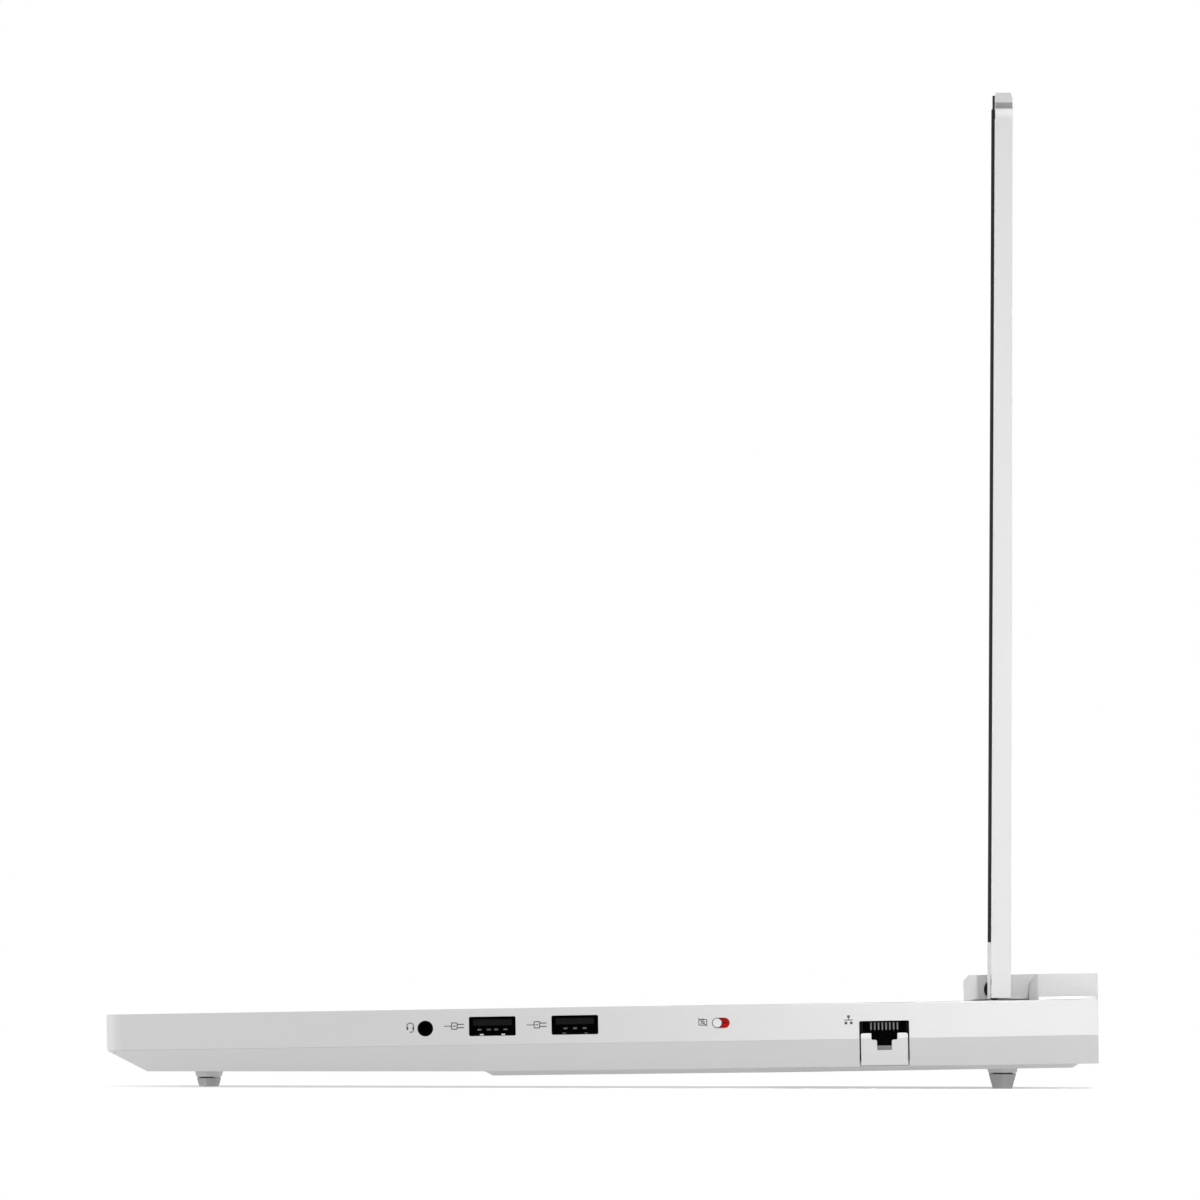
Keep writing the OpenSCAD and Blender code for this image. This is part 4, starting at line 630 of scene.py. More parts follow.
def lettering(text: str, height: float, place: Point2, top: float) -> Shape:
    """A printed word, lying flat.

    Args:
        text: What it says.
        height: Height of its capitals.
        place: Its left end, on the line that it stands on.
        top: Height of its face.

    Returns:
        The word as a shape.
    """
    curve = bpy.data.curves.new("word", "FONT")
    curve.body = text
    curve.size = height * CAPITAL_SCALE
    curve.extrude = PRINT_T / 2
    curve.resolution_u = 3
    curve.align_x = "LEFT"
    word = bpy.data.objects.new("word", curve)
    mesh = bpy.data.meshes.new_from_object(word)
    made = Shape()
    made.bm.from_mesh(mesh)
    made.bm.transform(Matrix.Translation((place[0], place[1], top - PRINT_T / 2)))
    bpy.data.objects.remove(word)
    bpy.data.curves.remove(curve)
    bpy.data.meshes.remove(mesh)
    return made


# ---------------------------------------------------------------- the base's housing

TOP_LOW, TOP_HIGH = DECK.node_box("top_case")
WALL_X = TOP_HIGH.x
FRONT_Y = TOP_LOW.y
BACK_Y = TOP_HIGH.y
TAIL_Y = DECK.node_box("rear_cover")[0].y
CREASE = min(p.z for p in (DECK.matrix.inverted() @ v.co for v in frame["nodes"]["top_case"].data.vertices)
             if p.x > WALL_X - 0.05)
HINGE_Y = (DECK.matrix.inverted() @ Vector(joint("lid_hinge")["pos_m"])).y
# How far above the crease an edge in the side wall belongs to an opening
PORT_KEEP = 0.6
# How far the prints stand out, by which the top case is narrowed to stay in its own box
INK_DEPTH = 0.03


@dataclass
class BaseHousing:
    """The white shells of the base, with the soft edges of lacquered mouldings.

    Attributes:
        rim: Rounding along the deck's outer edge.
        port_corner: Radius of the corners of the openings in the side walls.
        seam: What the parting line is narrowed by, as the shells' lips close it from inside.
        shoulder: Outline of the bright strip beside a hinge cap, from the side wall to the deck, which paints a
            highlight on the shoulder.
    """

    rim: float = 0.4
    port_corner: float = 0.4
    seam: float = 0.07
    shoulder: tuple[Point2, ...] = ((181.66, 0.01), (181.68, 0.06), (179.42, 0.80), (179.42, 0.72))

    def build(self) -> None:
        """Makes the three shells, the hinge caps and the bright strips of painted highlight beside them."""
        self.top_case()
        self.bottom_cover()
        softened("rear_cover", DECK, "base", 0.09, 2)
        for side, turn in (("left", -1), ("right", 1)):
            softened("hinge_cap_" + side, DECK, "base", 0.3, 3)
            # A bright strip on each shoulder beside the tail: painted highlight
            lip = Shape().prism([(turn * u, v) for u, v in self.shoulder], TAIL_Y + 2.6, BACK_Y - 0.2, Plane.XZ)
            lip.piece("tail_shoulder_highlight_" + side, SHOULDER_HIGHLIGHT, "base", DECK, "housing_white")

    def top_case(self) -> None:
        """The deck with its side walls, openings, well and key windows."""
        shape = Shape.of_node("top_case", DECK)
        shape.soften(self.port_corner, 4, where=self.in_port_corner, clamp=False)
        shape.soften(self.rim, 3, where=self.on_rim, clamp=False)
        shape.soften(0.1, 2, where=self.on_port_edge, clamp=False)
        shape.soften(0.15, 2, where=self.on_deck_opening, clamp=False)
        for vert in shape.bm.verts:
            if abs(vert.co.z - CREASE) < 0.02:
                vert.co.z -= self.seam
        shape.bm.transform(Matrix.Scale(1 - INK_DEPTH / WALL_X, 4, (1, 0, 0)))
        shape.piece("top_case_finished", HOUSING, "base", DECK, slot_of("top_case"), ["top_case"])

    @staticmethod
    def in_port_corner(edge: bmesh.types.BMEdge) -> bool:
        """Picks the corners of the openings in the side walls."""
        spot = middle(edge)
        return (runs_along(edge, 0) and abs(spot.x) > WALL_X - 2 and CREASE + PORT_KEEP < spot.z < -0.1
                and FRONT_Y + 20 < spot.y < HINGE_Y - 8)

    @staticmethod
    def on_rim(edge: bmesh.types.BMEdge) -> bool:
        """Picks the deck's outer edge."""
        spot = middle(edge)
        inner = abs(spot.x) < WALL_X - 4.3 and spot.y > FRONT_Y + 0.1
        return abs(spot.z) < 0.02 and not inner and (abs(spot.x) > WALL_X - 1 or spot.y < FRONT_Y + 4.3)

    @staticmethod
    def on_port_edge(edge: bmesh.types.BMEdge) -> bool:
        """Picks the openings' edges on the side walls' faces."""
        spot = middle(edge)
        lowest = min(v.co.z for v in edge.verts)
        return (abs(abs(spot.x) - WALL_X) < 0.01 and CREASE + PORT_KEEP < lowest and spot.z < -1
                and FRONT_Y + 10 < spot.y < HINGE_Y - 8 and edge.calc_face_angle(0.0) > 1)

    @staticmethod
    def on_deck_opening(edge: bmesh.types.BMEdge) -> bool:
        """Picks the edges of the well, the touchpad's opening and the power button's."""
        spot = middle(edge)
        return abs(spot.z) < 0.02 and abs(spot.x) < WALL_X - 5 and FRONT_Y + 5 < spot.y < HINGE_Y - 7

    def bottom_cover(self) -> None:
        """The underside, with the plateau, the feet's bosses and the screw seats."""
        shape = Shape.of_node("bottom_cover", DECK)
        shape.soften(0.3, 3, where=lambda e: middle(e).z < CREASE - 4, shortest=2.0)
        shape.piece("bottom_cover_finished", BOTTOM, "base", DECK, slot_of("bottom_cover"), ["bottom_cover"])


@dataclass
class Underside:
    """What the base stands on and breathes through.

    Attributes:
        pad_h: Height of each foot's pad, from the table to its groove.
        lip: Where a lip starts and ends above the pad.
        wires: How many wires of the dust mesh run across and along.
        wire_r: Half a wire's thickness.
    """

    pad_h: tuple[tuple[str, float], ...] = (("front_foot", 2.35), ("rear_foot", 4.0))
    lip: Point2 = (0.04, 0.33)
    wires: tuple[int, int] = (34, 28)
    wire_r: float = 0.12

    def build(self) -> None:
        """Makes the feet, the grilles and the screws."""
        for foot, _ in self.pad_h:
            softened(foot, TABLE, "base", 0.25, 3)
        self.foot_lips()
        softened("intake_grilles", DECK, "base", 0.18, 2, shortest=1.0)
        for side in ("left", "right"):
            softened("exhaust_grille_" + side, DECK, "base", 0.15, 2, shortest=1.0)
        softened("bottom_screws", DECK, "base", 0.08, 2)
        self.dust_mesh()

    def foot_lips(self) -> None:
        """White lips beside each foot's neck, where the housing shows in the groove over the rubber."""
        for foot, pad_h in self.pad_h:
            low, high = TABLE.node_box(foot)
            half, centre = (high.y - low.y) / 2, (low.y + high.y) / 2
            lips = Shape()
            for side in (-1, 1):
                y0, y1 = sorted((centre + side * (half - 1.2), centre + side * (half - 0.15)))
                lips.box((low.x + 2.8, y0, pad_h + self.lip[0]), (high.x - 2.8, y1, pad_h + self.lip[1]))
            lips.piece(foot + "_lips", BOTTOM, "base", TABLE, "bottom_white")

    def dust_mesh(self) -> None:
        """A wire cloth behind each intake grille, drawn coarser than the real one so that it shows."""
        low, high = DECK.node_box("intake_grilles")
        across, along = self.wires
        for side in (-1, 1):
            shape = Shape()
            x0, x1 = sorted((side * (high.x - 3), side * (high.x - 69)))
            for i in range(across):
                x = x0 + (x1 - x0) * i / (across - 1)
                shape.box((x - self.wire_r, low.y + 3, high.z - 0.3), (x + self.wire_r, high.y - 3, high.z - 0.1))
            for i in range(along):
                y = low.y + 3 + (high.y - low.y - 6) * i / (along - 1)
                shape.box((x0, y - self.wire_r, high.z - 0.2), (x1, y + self.wire_r, high.z - 0.02))
            shape.piece(f"dust_mesh_{'left' if side < 0 else 'right'}", NYLON, "base", DECK, "grille_dark")


# ---------------------------------------------------------------- keyboard

@dataclass(frozen=True)
class Key:
    """One key's place: its lowest and highest corners on the deck."""

    low: Vector
    high: Vector

    @property
    def size(self) -> Point2:
        """Width and depth."""
        return self.high.x - self.low.x, self.high.y - self.low.y

    @property
    def centre(self) -> Point2:
        """Its middle, from above."""
        return (self.high.x + self.low.x) / 2, (self.high.y + self.low.y) / 2


def islands(node: str) -> list[Key]:
    """The separate solids of a CAD node, rear row first and each row from the left."""
    bm = Shape.of_node(node, DECK).bm
    left, found = set(bm.verts), []
    while left:
        stack, group = [left.pop()], []
        while stack:
            vert = stack.pop()
            group.append(vert.co.copy())
            near = {e.other_vert(vert) for e in vert.link_edges} & left
            left -= near
            stack.extend(near)
        found.append(Key(*(Vector([pick(p[i] for p in group) for i in range(3)]) for pick in (min, max))))
    bm.free()
    return sorted(found, key=lambda k: (-round(k.high.y), k.low.x))


@dataclass(frozen=True)
class KeyGroup:
    """Keys that one CAD body carries, with their legends in the same order.

    Attributes:
        node: The CAD node, whose body is named alike.
        legends: One word for each key. A second one, after a space, is printed above the first.
    """

    node: str
    legends: tuple[str, ...]


KEY_GROUPS = (
    KeyGroup("function_row_keys", ("esc", *(f"F{i}" for i in range(1, 13)), "ins", "prt", "del",
                                   "home", "end", "pgup", "pgdn")),
    KeyGroup("number_row_keys", ("` ~", "1 !", "2 @", "3 #", "4 $", "5 %", "6 ^", "7 &", "8 *", "9 (", "0 )",
                                 "- _", "= +", "backspace")),
    KeyGroup("upper_row_keys", ("tab", *"QWERTYUIOP", "[ {", "] }", "\\ |")),
    KeyGroup("home_row_keys", ("caps", *"ASDFGHJKL", "; :", "' \"", "enter")),
    KeyGroup("lower_row_keys", ("shift", *"ZXCVBNM", ", <", ". >", "/ ?", "shift")),
    KeyGroup("bottom_row_keys", ("ctrl", "fn", "o", "alt", "alt", "ctrl")),
    KeyGroup("space_bar", ("",)),
    KeyGroup("arrow_keys", ("^", "<", "v", ">")),
    KeyGroup("number_pad_keys", ("num", "/", "*", "-", "7", "8", "9", "+", "4", "5", "6", "1", "2", "3",
                                 "enter", "0", ".")),
)


@dataclass
class Keyboard:
    """The keys: shallow white caps with a soft, slightly dished top and grey legends.

    Attributes:
        cap_h: Height of a cap.
        corner: Radius of a cap's corners.
        plunger_r: Radius of the post below a cap.
    """

    cap_h: float = 2.2
    corner: float = 1.6
    plunger_r: float = 1.5

    def build(self) -> None:
        """Makes each group's caps and legends."""
        for group in KEY_GROUPS:
            keys = islands(group.node)
            caps, prints = Shape(), Shape()
            for key, legend in zip(keys, group.legends, strict=True):
                self.cap(caps, key)
                self.legend(prints, key, legend)
                if legend in ("F", "J"):
                    self.home_bar(caps, key)
            caps.piece(group.node + "_caps", KEYCAP, group.node, DECK, slot_of(group.node), [group.node])
            if len(prints.bm.verts):
                prints.piece(group.node + "_legends", INK, group.node, DECK, slot_of(group.node))

    def cap(self, shape: Shape, key: Key) -> None:
        """Adds one cap: drafted sides, a rounded shoulder and a top that sinks a little to its middle."""
        top, (width, depth) = key.high.z, key.size
        profile = [(0.12, -self.cap_h), (0.0, 0.12 - self.cap_h), (0.03, -1.1), (0.09, -0.45), (0.2, -0.2),
                   (0.36, -0.06), (0.6, 0.0), (1.6, -0.025), (3.2, -0.05)]
        rings = []
        for inset, height in profile:
            radius = max(self.corner - 0.35 * inset, 0.5)
            outline = round_rect(width - 2 * inset, depth - 2 * inset, radius, 4, key.centre)
            rings.append([Vector((x, y, top + height)) for x, y in outline])
        shape.loft(rings)
        shape.rod(key.centre, self.plunger_r, key.low.z, top - self.cap_h + 0.05, steps=16)

    @staticmethod
    def home_bar(shape: Shape, key: Key) -> None:
        """Adds the raised bar that the forefingers find."""
        x, y = key.centre[0], key.low.y + 2.1
        shape.prism(round_rect(3.2, 0.5, 0.24, 4, (x, y)), key.high.z - 0.1, key.high.z + 0.12)

    @staticmethod
    def legend(shape: Shape, key: Key, text: str) -> None:
        """Adds a key's print: a large letter, a small word, two signs or an arrow."""
        face = key.high.z + 0.012
        left, low, high = key.low.x + 2.2, key.low.y + 2.3, key.high.y - 2.2
        if text in ("^", "v", "<", ">"):
            turn = {"^": 90, "v": 270, "<": 180, ">": 0}[text]
            shape.prism(arc(key.centre, 1.5, turn, turn + 240, 2), face - PRINT_T, face)
        elif text == "o":
            shape.ring(arc(key.centre, 1.5, 0, 345, 23), arc(key.centre, 1.2, 0, 345, 23), face - PRINT_T, face)
        elif " " in text:
            first, second = text.split(" ")
            shape.add(lettering(first, 3.0, (left, low), face))
            shape.add(lettering(second, 3.0, (left, high - 3.0), face))
        elif len(text) == 1:
            shape.add(lettering(text, 3.6, (left, high - 3.6), face))
        elif text:
            shape.add(lettering(text, 2.1, (left, low), face))


# ---------------------------------------------------------------- palm rest

@dataclass
class PalmRest:
    """The touchpad and the power button."""

    def build(self) -> None:
        """Makes both, and the mark on the button."""
        softened("touchpad", DECK, "touchpad", 0.15, 3)
        softened("power_button", DECK, "power_button", 0.2, 3)
        low, high = DECK.node_box("power_button")
        x, y, face = 0.0, (low.y + high.y) / 2, high.z + 0.012
        mark = Shape()
        mark.ring(arc((x, y), 1.5, 120, 420, 20), arc((x, y), 1.2, 120, 420, 20), face - PRINT_T, face)
        mark.box((x - 0.15, y + 0.4, face - PRINT_T), (x + 0.15, y + 1.8, face))
        mark.piece("power_mark", INK, "power_button", DECK, "key_white")


# ---------------------------------------------------------------- sockets

def socket_place(node: str, drop: float, left: bool = False, along: Optional[float] = None) -> Place:
    """The frame of a socket: x points out of the side wall from its inner face.

    Args:
        node: The socket's CAD node.
        drop: How far its centre lies below the node's top.
        left: Whether it is in the left wall.
        along: Its centre's y, where that isn't the middle of the node.

    Returns:
        The frame, with its origin in the opening's middle.
    """
    low, high = DECK.node_box(node)
    y = (low.y + high.y) / 2 if along is None else along
    return DECK.shifted(low.x if left else high.x, y, high.z - drop, left)


@dataclass
class UsbSocket:
    """A USB-A socket: a drawn shell round a black tongue, with contacts and springs.

    Attributes:
        node: Its CAD node.
        left: Whether it is in the left wall.
        fingers: Where the contact tips hang under the tongue, along the wall.
        spring_x: How far its springs reach towards the opening.
        opening: Width and height of the opening.
        shell_t: Thickness of the shell.
        depth: How far the shell reaches in.
    """

    node: str
    left: bool = False
    fingers: tuple[float, ...] = (-3.5, -1.0, 1.0, 3.5)
    spring_x: float = -1.1
    opening: Point2 = (12.6, 5.2)
    shell_t: float = 0.45
    depth: float = 13.0

    def build(self) -> None:
        """Makes the shell, the insulator, the contacts and the springs."""
        width, height = self.opening
        place = socket_place(self.node, height / 2 + self.shell_t, self.left)
        outer = round_rect(width + 2 * self.shell_t, height + 2 * self.shell_t, 0.8, 5)
        inner = round_rect(width, height, 0.4, 5)
        shell = Shape().ring(outer, inner, -self.depth, -0.03, Plane.YZ)
        for y in (-5.5, 5.5):
            shell.box((1.0 - self.depth, y - 0.5, -height / 2 - 1.2), (-2, y + 0.5, -height / 2 - 0.1))
        # The USB shell takes the darker copy of the shell's finish: painted shade inside the socket
        shell.piece(self.node + "_shell", SHADED_SHELL, "base", place, slot_of(self.node), [self.node])
        core = Shape().box((0.3 - self.depth, -width / 2, -height / 2), (1.5 - self.depth, width / 2, height / 2))
        tongue = Shape().prism(round_rect(10.6, 1.8, 0.25, 4, (0, 1.05)), 1.4 - self.depth, -0.65, Plane.YZ)
        core.add(tongue.soften(0.15, 2))
        core.piece(self.node + "_tongue", INSULATOR, "base", place, "port_black")
        self.contacts(place)

    def contacts(self, place: Place) -> None:
        """The contact strips with their bent tips, and the leaf springs on the shell's floor."""
        strips, springs = Shape(), Shape()
        profile = [(-9.5, 0.2), (-9.5, 0.0), (-4.2, 0.0), (-2.2, -1.05), (-1.5, -1.12), (-1.4, -0.72),
                   (-2.0, -0.68), (-3.4, 0.2)]
        for y in self.fingers:
            strips.loft([[Vector((u, y + s * 0.5, v)) for u, v in profile] for s in (-1, 1)])
        strips.piece(self.node + "_contacts", SHADED_CONTACT_METAL, "base", place, "port_steel")
        floor = -self.opening[1] / 2
        for y in (-2.9, 2.9):
            tip = self.spring_x
            profile = [(-9, floor + 0.05), (tip - 2.1, floor + 0.4), (tip - 0.1, floor + 0.55),
                       (tip, floor + 0.15), (tip - 1.9, floor + 0.2), (-9, floor)]
            springs.loft([[Vector((u, y + s * 0.5, v)) for u, v in profile] for s in (-1, 1)])
        springs.piece(self.node + "_springs", SPRING, "base", place, "port_steel")


@dataclass
class AudioJack:
    """A four-pole jack: a black barrel with two dark contacts deep inside.

    Attributes:
        node: Its CAD node.
        bore_r: Radius of its bore.
        lip_r: Radius of the lip round the bore.
        contact_r: How far a contact lies from the axis.
    """

    node: str = "audio_jack"
    bore_r: float = 1.8
    lip_r: float = 2.08
    contact_r: float = 1.62

    def build(self) -> None:
        """Makes the barrel, its lip and the contacts."""
        softened(self.node, DECK, "base", 0.1, 2)
        low, high = DECK.node_box(self.node)
        place = DECK.shifted(high.x, (low.y + high.y) / 2, self.axis_z())
        outer, inner = (arc((0, 0), radius, 0, 352.5, 47) for radius in (self.lip_r, self.bore_r))
        lip = Shape().ring(outer, inner, -0.02, 1.2, Plane.YZ)
        lip.soften(0.1, 2, where=lambda e: middle(e).x > 1.1)
        lip.piece("audio_jack_lip", INSULATOR, "base", place, "port_black")
        contacts = Shape()
        for turn in (40, 220):
            y, z = (self.contact_r * f(math.radians(turn)) for f in (math.cos, math.sin))
            contacts.box((-10.5, y - 0.25, z - 0.12), (-8.5, y + 0.25, z + 0.12))
        # The contacts take the darker copy of the shell's finish: painted shade deep in the bore
        contacts.piece("audio_jack_contacts", SHADED_SHELL, "base", place, "port_steel")

    @staticmethod
    def axis_z() -> float:
        """Height of the bore's axis in the deck's frame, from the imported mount."""
        mount = next(m for m in frame["record"]["mounts"] if m["name"] == "audio_jack_bore")
        return (DECK.matrix.inverted() @ Vector(mount["pos_m"])).z


@dataclass
class ShutterSwitch:
    """The camera's shutter switch: a white knob in a red slot.

    Attributes:
        slot: Length and height of the red floor.
        slit: Length and height of the slit that the knob's blade runs in.
    """

    slot: Point2 = (4.7, 2.7)
    slit: Point2 = (2.9, 0.34)

    def build(self) -> None:
        """Makes the slotted plate, the knob on its blade and a thin black ring round the knob, which paints the shade
        of the gap at its edge.
        """
        low, high = DECK.node_box("shutter_slot")
        place = DECK.shifted(0, (low.y + high.y) / 2, (low.z + high.z) / 2)
        slit = round_rect(*self.slit, 0.15)
        plate = Shape().ring(round_rect(*self.slot, self.slot[1] / 2), slit, high.x - 0.75, high.x, Plane.YZ)
        plate.ring(round_rect(high.y - low.y, high.z - low.z, 0.3), slit, low.x, low.x + 0.8, Plane.YZ)
        plate.piece("shutter_plate", RED, "base", place, slot_of("shutter_slot"), ["shutter_slot"])
        low, high = DECK.node_box("shutter_slider")
        place = DECK.shifted(high.x, (low.y + high.y) / 2, (low.z + high.z) / 2)
        foot = low.x - high.x
        rings = [[Vector((x, y, z)) for y, z in arc((0, 0), radius, 0, 350, 35)]
                 for x, radius in ((-0.75, 1.25), (-0.2, 1.25), (-0.06, 1.17), (0.0, 1.0), (-0.03, 0.4))]
        knob = Shape().loft(rings)
        knob.box((foot + 0.4, -0.3, -0.12), (-0.7, 0.3, 0.12))
        knob.box((foot, -1.5, -1.2), (foot + 1.1, 1.5, 1.2))
        knob.piece("shutter_knob", KEYCAP, "shutter_slider", place, slot_of("shutter_slider"), ["shutter_slider"])
        # A black ring behind the knob's rim: painted shade for the gap round the knob
        shade_ring = Shape().ring(arc((0, 0), 1.38, 0, 350, 35), arc((0, 0), 1.2, 0, 350, 35), -0.72, -0.45, Plane.YZ)
        shade_ring.piece("shutter_shade_ring", GASKET, "shutter_slider", place, slot_of("shutter_slider"))


@dataclass
class NetworkSocket:
    """The network socket with its eight spring wires and its drop jaw.

    Attributes:
        pitch: Distance between two wires.
        jaw_w: Width of the jaw.
        wall_run: How far the lower side wall goes inwards for each millimetre down.
    """

    pitch: float = 1.02
    jaw_w: float = 12.7
    wall_run: float = 8 / 7.75

    def build(self) -> None:
        """Makes the case, the wires and the jaw."""
        dress_node("network_socket", INSULATOR)
        low, high = DECK.node_box("network_socket")
        y, top = (low.y + high.y) / 2, high.z - 0.8
        place = DECK.shifted(high.x, y, top)
        wires = Shape()
        for i in range(8):
            at = (i - 3.5) * self.pitch
            bent = [(0.3, -0.45), (0.1, -0.45), (0.05, -2.2), (-9.5, -3.5), (-9.5, -3.3), (0.3, -2.4)]
            wires.loft([[Vector((u, at + s * 0.19, v)) for u, v in bent] for s in (-1, 1)])
        wires.piece("network_wires", SHADED_CONTACT_METAL, "base", place, "port_steel")
        self.jaw()

    def jaw(self) -> None:
        """The drop jaw: a plate that follows the bent wall, notched for the plug's latch, on two ears."""
        low, high = DECK.node_box("network_jaw")
        place = DECK.shifted(high.x, (low.y + high.y) / 2, high.z)
        half, foot, bend = self.jaw_w / 2, low.z - high.z, CREASE - high.z
        step = [(half, bend), (3.5, bend), *arc((3.2, -1.5), 0.3, 360, 270, 3), *arc((2.5, -2.3), 0.5, 90, 180, 4),
                (2.0, -4.6)]
        tab = [(half, bend), *arc((half - 0.5, -0.5), 0.5, 0, 90, 4), *arc((3.75, -0.25), 0.25, 90, 180, 3),
               (3.5, bend)]
        plate = Shape().prism([(half, foot), *step, *((-u, v) for u, v in reversed(step)), (-half, foot)],
                              -1.3, 0, Plane.YZ)
        for vert in plate.bm.verts:
            vert.co.x -= (bend - vert.co.z) * self.wall_run
        for side in (-1, 1):
            plate.prism([(side * u, v) for u, v in tab], -1.3, 0, Plane.YZ)
        plate.soften(0.08, 2, angle=60, where=lambda e: not runs_along(e, 0) and abs(middle(e).z - bend) > 0.02)
        ear = -(5.2 + bend) * self.wall_run - 0.8
        # The pins take the dark oxide finish: partly real black-oxide steel, partly painted shade for the slits beside
        # the jaw
        pins = Shape()
        for side in (-1, 1):
            plate.box((low.x - high.x, side * 6 - 0.35, -6.6), (ear, side * 6 + 0.35, -5.2))
            pins.rod((low.x - high.x + 0.9, -6.1), 0.55, side * 8.1, side * 5.7, Plane.XZ, 20)
        # The jaw's lighter white is painted light on the sloping plate
        plate.piece("network_jaw_plate", JAW_PAINTED_LIGHT, "network_jaw", place, slot_of("network_jaw"), ["network_jaw"])
        pins.piece("network_jaw_pins", OXIDE, "network_jaw", place, slot_of("network_jaw"))
        latch = Shape().prism([(-2.05, -4.75), (2.05, -4.75), (2.05, -3.4), (-2.05, -3.4)], -4.9, -4.5, Plane.YZ)
        latch.soften(0.08, 2).piece("network_jaw_latch", LATCH, "network_jaw", place, slot_of("network_jaw"))


@dataclass
class SmallSockets:
    """The left wall's power inlet, video socket and USB-C sockets."""

    def build(self) -> None:
        """Makes each socket from its CAD form, with its own contacts."""
        softened("power_inlet", DECK, "base", 0.1, 2)
        softened("video_socket", DECK, "base", 0.08, 2)
        softened("usb_c_sockets", DECK, "base", 0.06, 2)
        self.inlet_plates()
        self.rows("video_socket", 9, 1.0, 0.5, -0.15)
        self.rows("usb_c_sockets", 6, 0.9, 0.5, 0.0)

    @staticmethod
    def inlet_plates() -> None:
        """The bright plates on the inlet's tongue."""
        low, high = DECK.node_box("power_inlet")
        plates = Shape()
        place = DECK.shifted(low.x, (low.y + high.y) / 2, high.z - 3.2, True)
        for y in (-2.9, 0.0, 2.9):
            plates.box((-8.5, y - 0.9, -0.68), (-1.6, y + 0.9, 0.68))
        plates.piece("power_inlet_plates", CONTACT, "base", place, "port_steel")

    @staticmethod
    def rows(node: str, count: int, pitch: float, width: float, lift: float) -> None:
        """Contact strips on the tongues of a node's sockets."""
        strips = Shape()
        for key in islands(node):
            for i in range(count):
                y = key.centre[1] + (i - (count - 1) / 2) * pitch
                z = key.high.z - (3.1 if node == "video_socket" else 2.3) + lift
                strips.box((key.low.x + 1.4, y - width / 2, z - 0.4), (key.low.x + 6.5, y + width / 2, z + 0.4))
        strips.piece(node + "_contacts", CONTACT, "base", DECK, "port_steel")


# ---------------------------------------------------------------- pictograms

class Pictogram:
    """A small print on a side wall, drawn in millimetres about its middle: u to the back and v up."""

    def __init__(self) -> None:
        """Starts with no ink."""
        self.shape = Shape()
        self.height = INK_DEPTH - 0.004

    def bar(self, start: Point2, end: Point2, width: float = 0.28) -> "Pictogram":
        """A straight stroke."""
        way = Vector((end[0] - start[0], end[1] - start[1]))
        side = Vector((-way.y, way.x)).normalized() * width / 2
        corners = [(start[0] + side.x, start[1] + side.y), (start[0] - side.x, start[1] - side.y),
                   (end[0] - side.x, end[1] - side.y), (end[0] + side.x, end[1] + side.y)]
        return self.fill(corners)

    def fill(self, outline: Sequence[Point2]) -> "Pictogram":
        """A filled outline, a hair lower than the one before it, so that crossing strokes don't coincide."""
        self.shape.prism(outline, 0.0, self.height, Plane.YZ)
        self.height -= 0.0015
        return self

    def bow(self, centre: Point2, radius: float, start: float, end: float, width: float = 0.28) -> "Pictogram":
        """A stroke along an arc."""
        outer = arc(centre, radius + width / 2, start, end, 16)
        inner = arc(centre, radius - width / 2, end, start, 16)
        return self.fill(outer + inner)

    def frame(self, width: float, height: float, centre: Point2 = (0, 0), stroke: float = 0.25) -> "Pictogram":
        """A rectangle's outline."""
        x, y = width / 2, height / 2
        corners = [(centre[0] + a * x, centre[1] + b * y) for a, b in ((-1, -1), (1, -1), (1, 1), (-1, 1))]
        for start, end in zip(corners, corners[1:] + corners[:1]):
            self.bar(start, end, stroke)
        return self

    def print_on(self, name: str, y: float, z: float, left: bool = False) -> None:
        """Prints it on a side wall, at a place of the deck's frame."""
        x = WALL_X - INK_DEPTH
        place = DECK.shifted(-x if left else x, y, z, left)
        self.shape.piece(name, INK, "base", place, "housing_white")


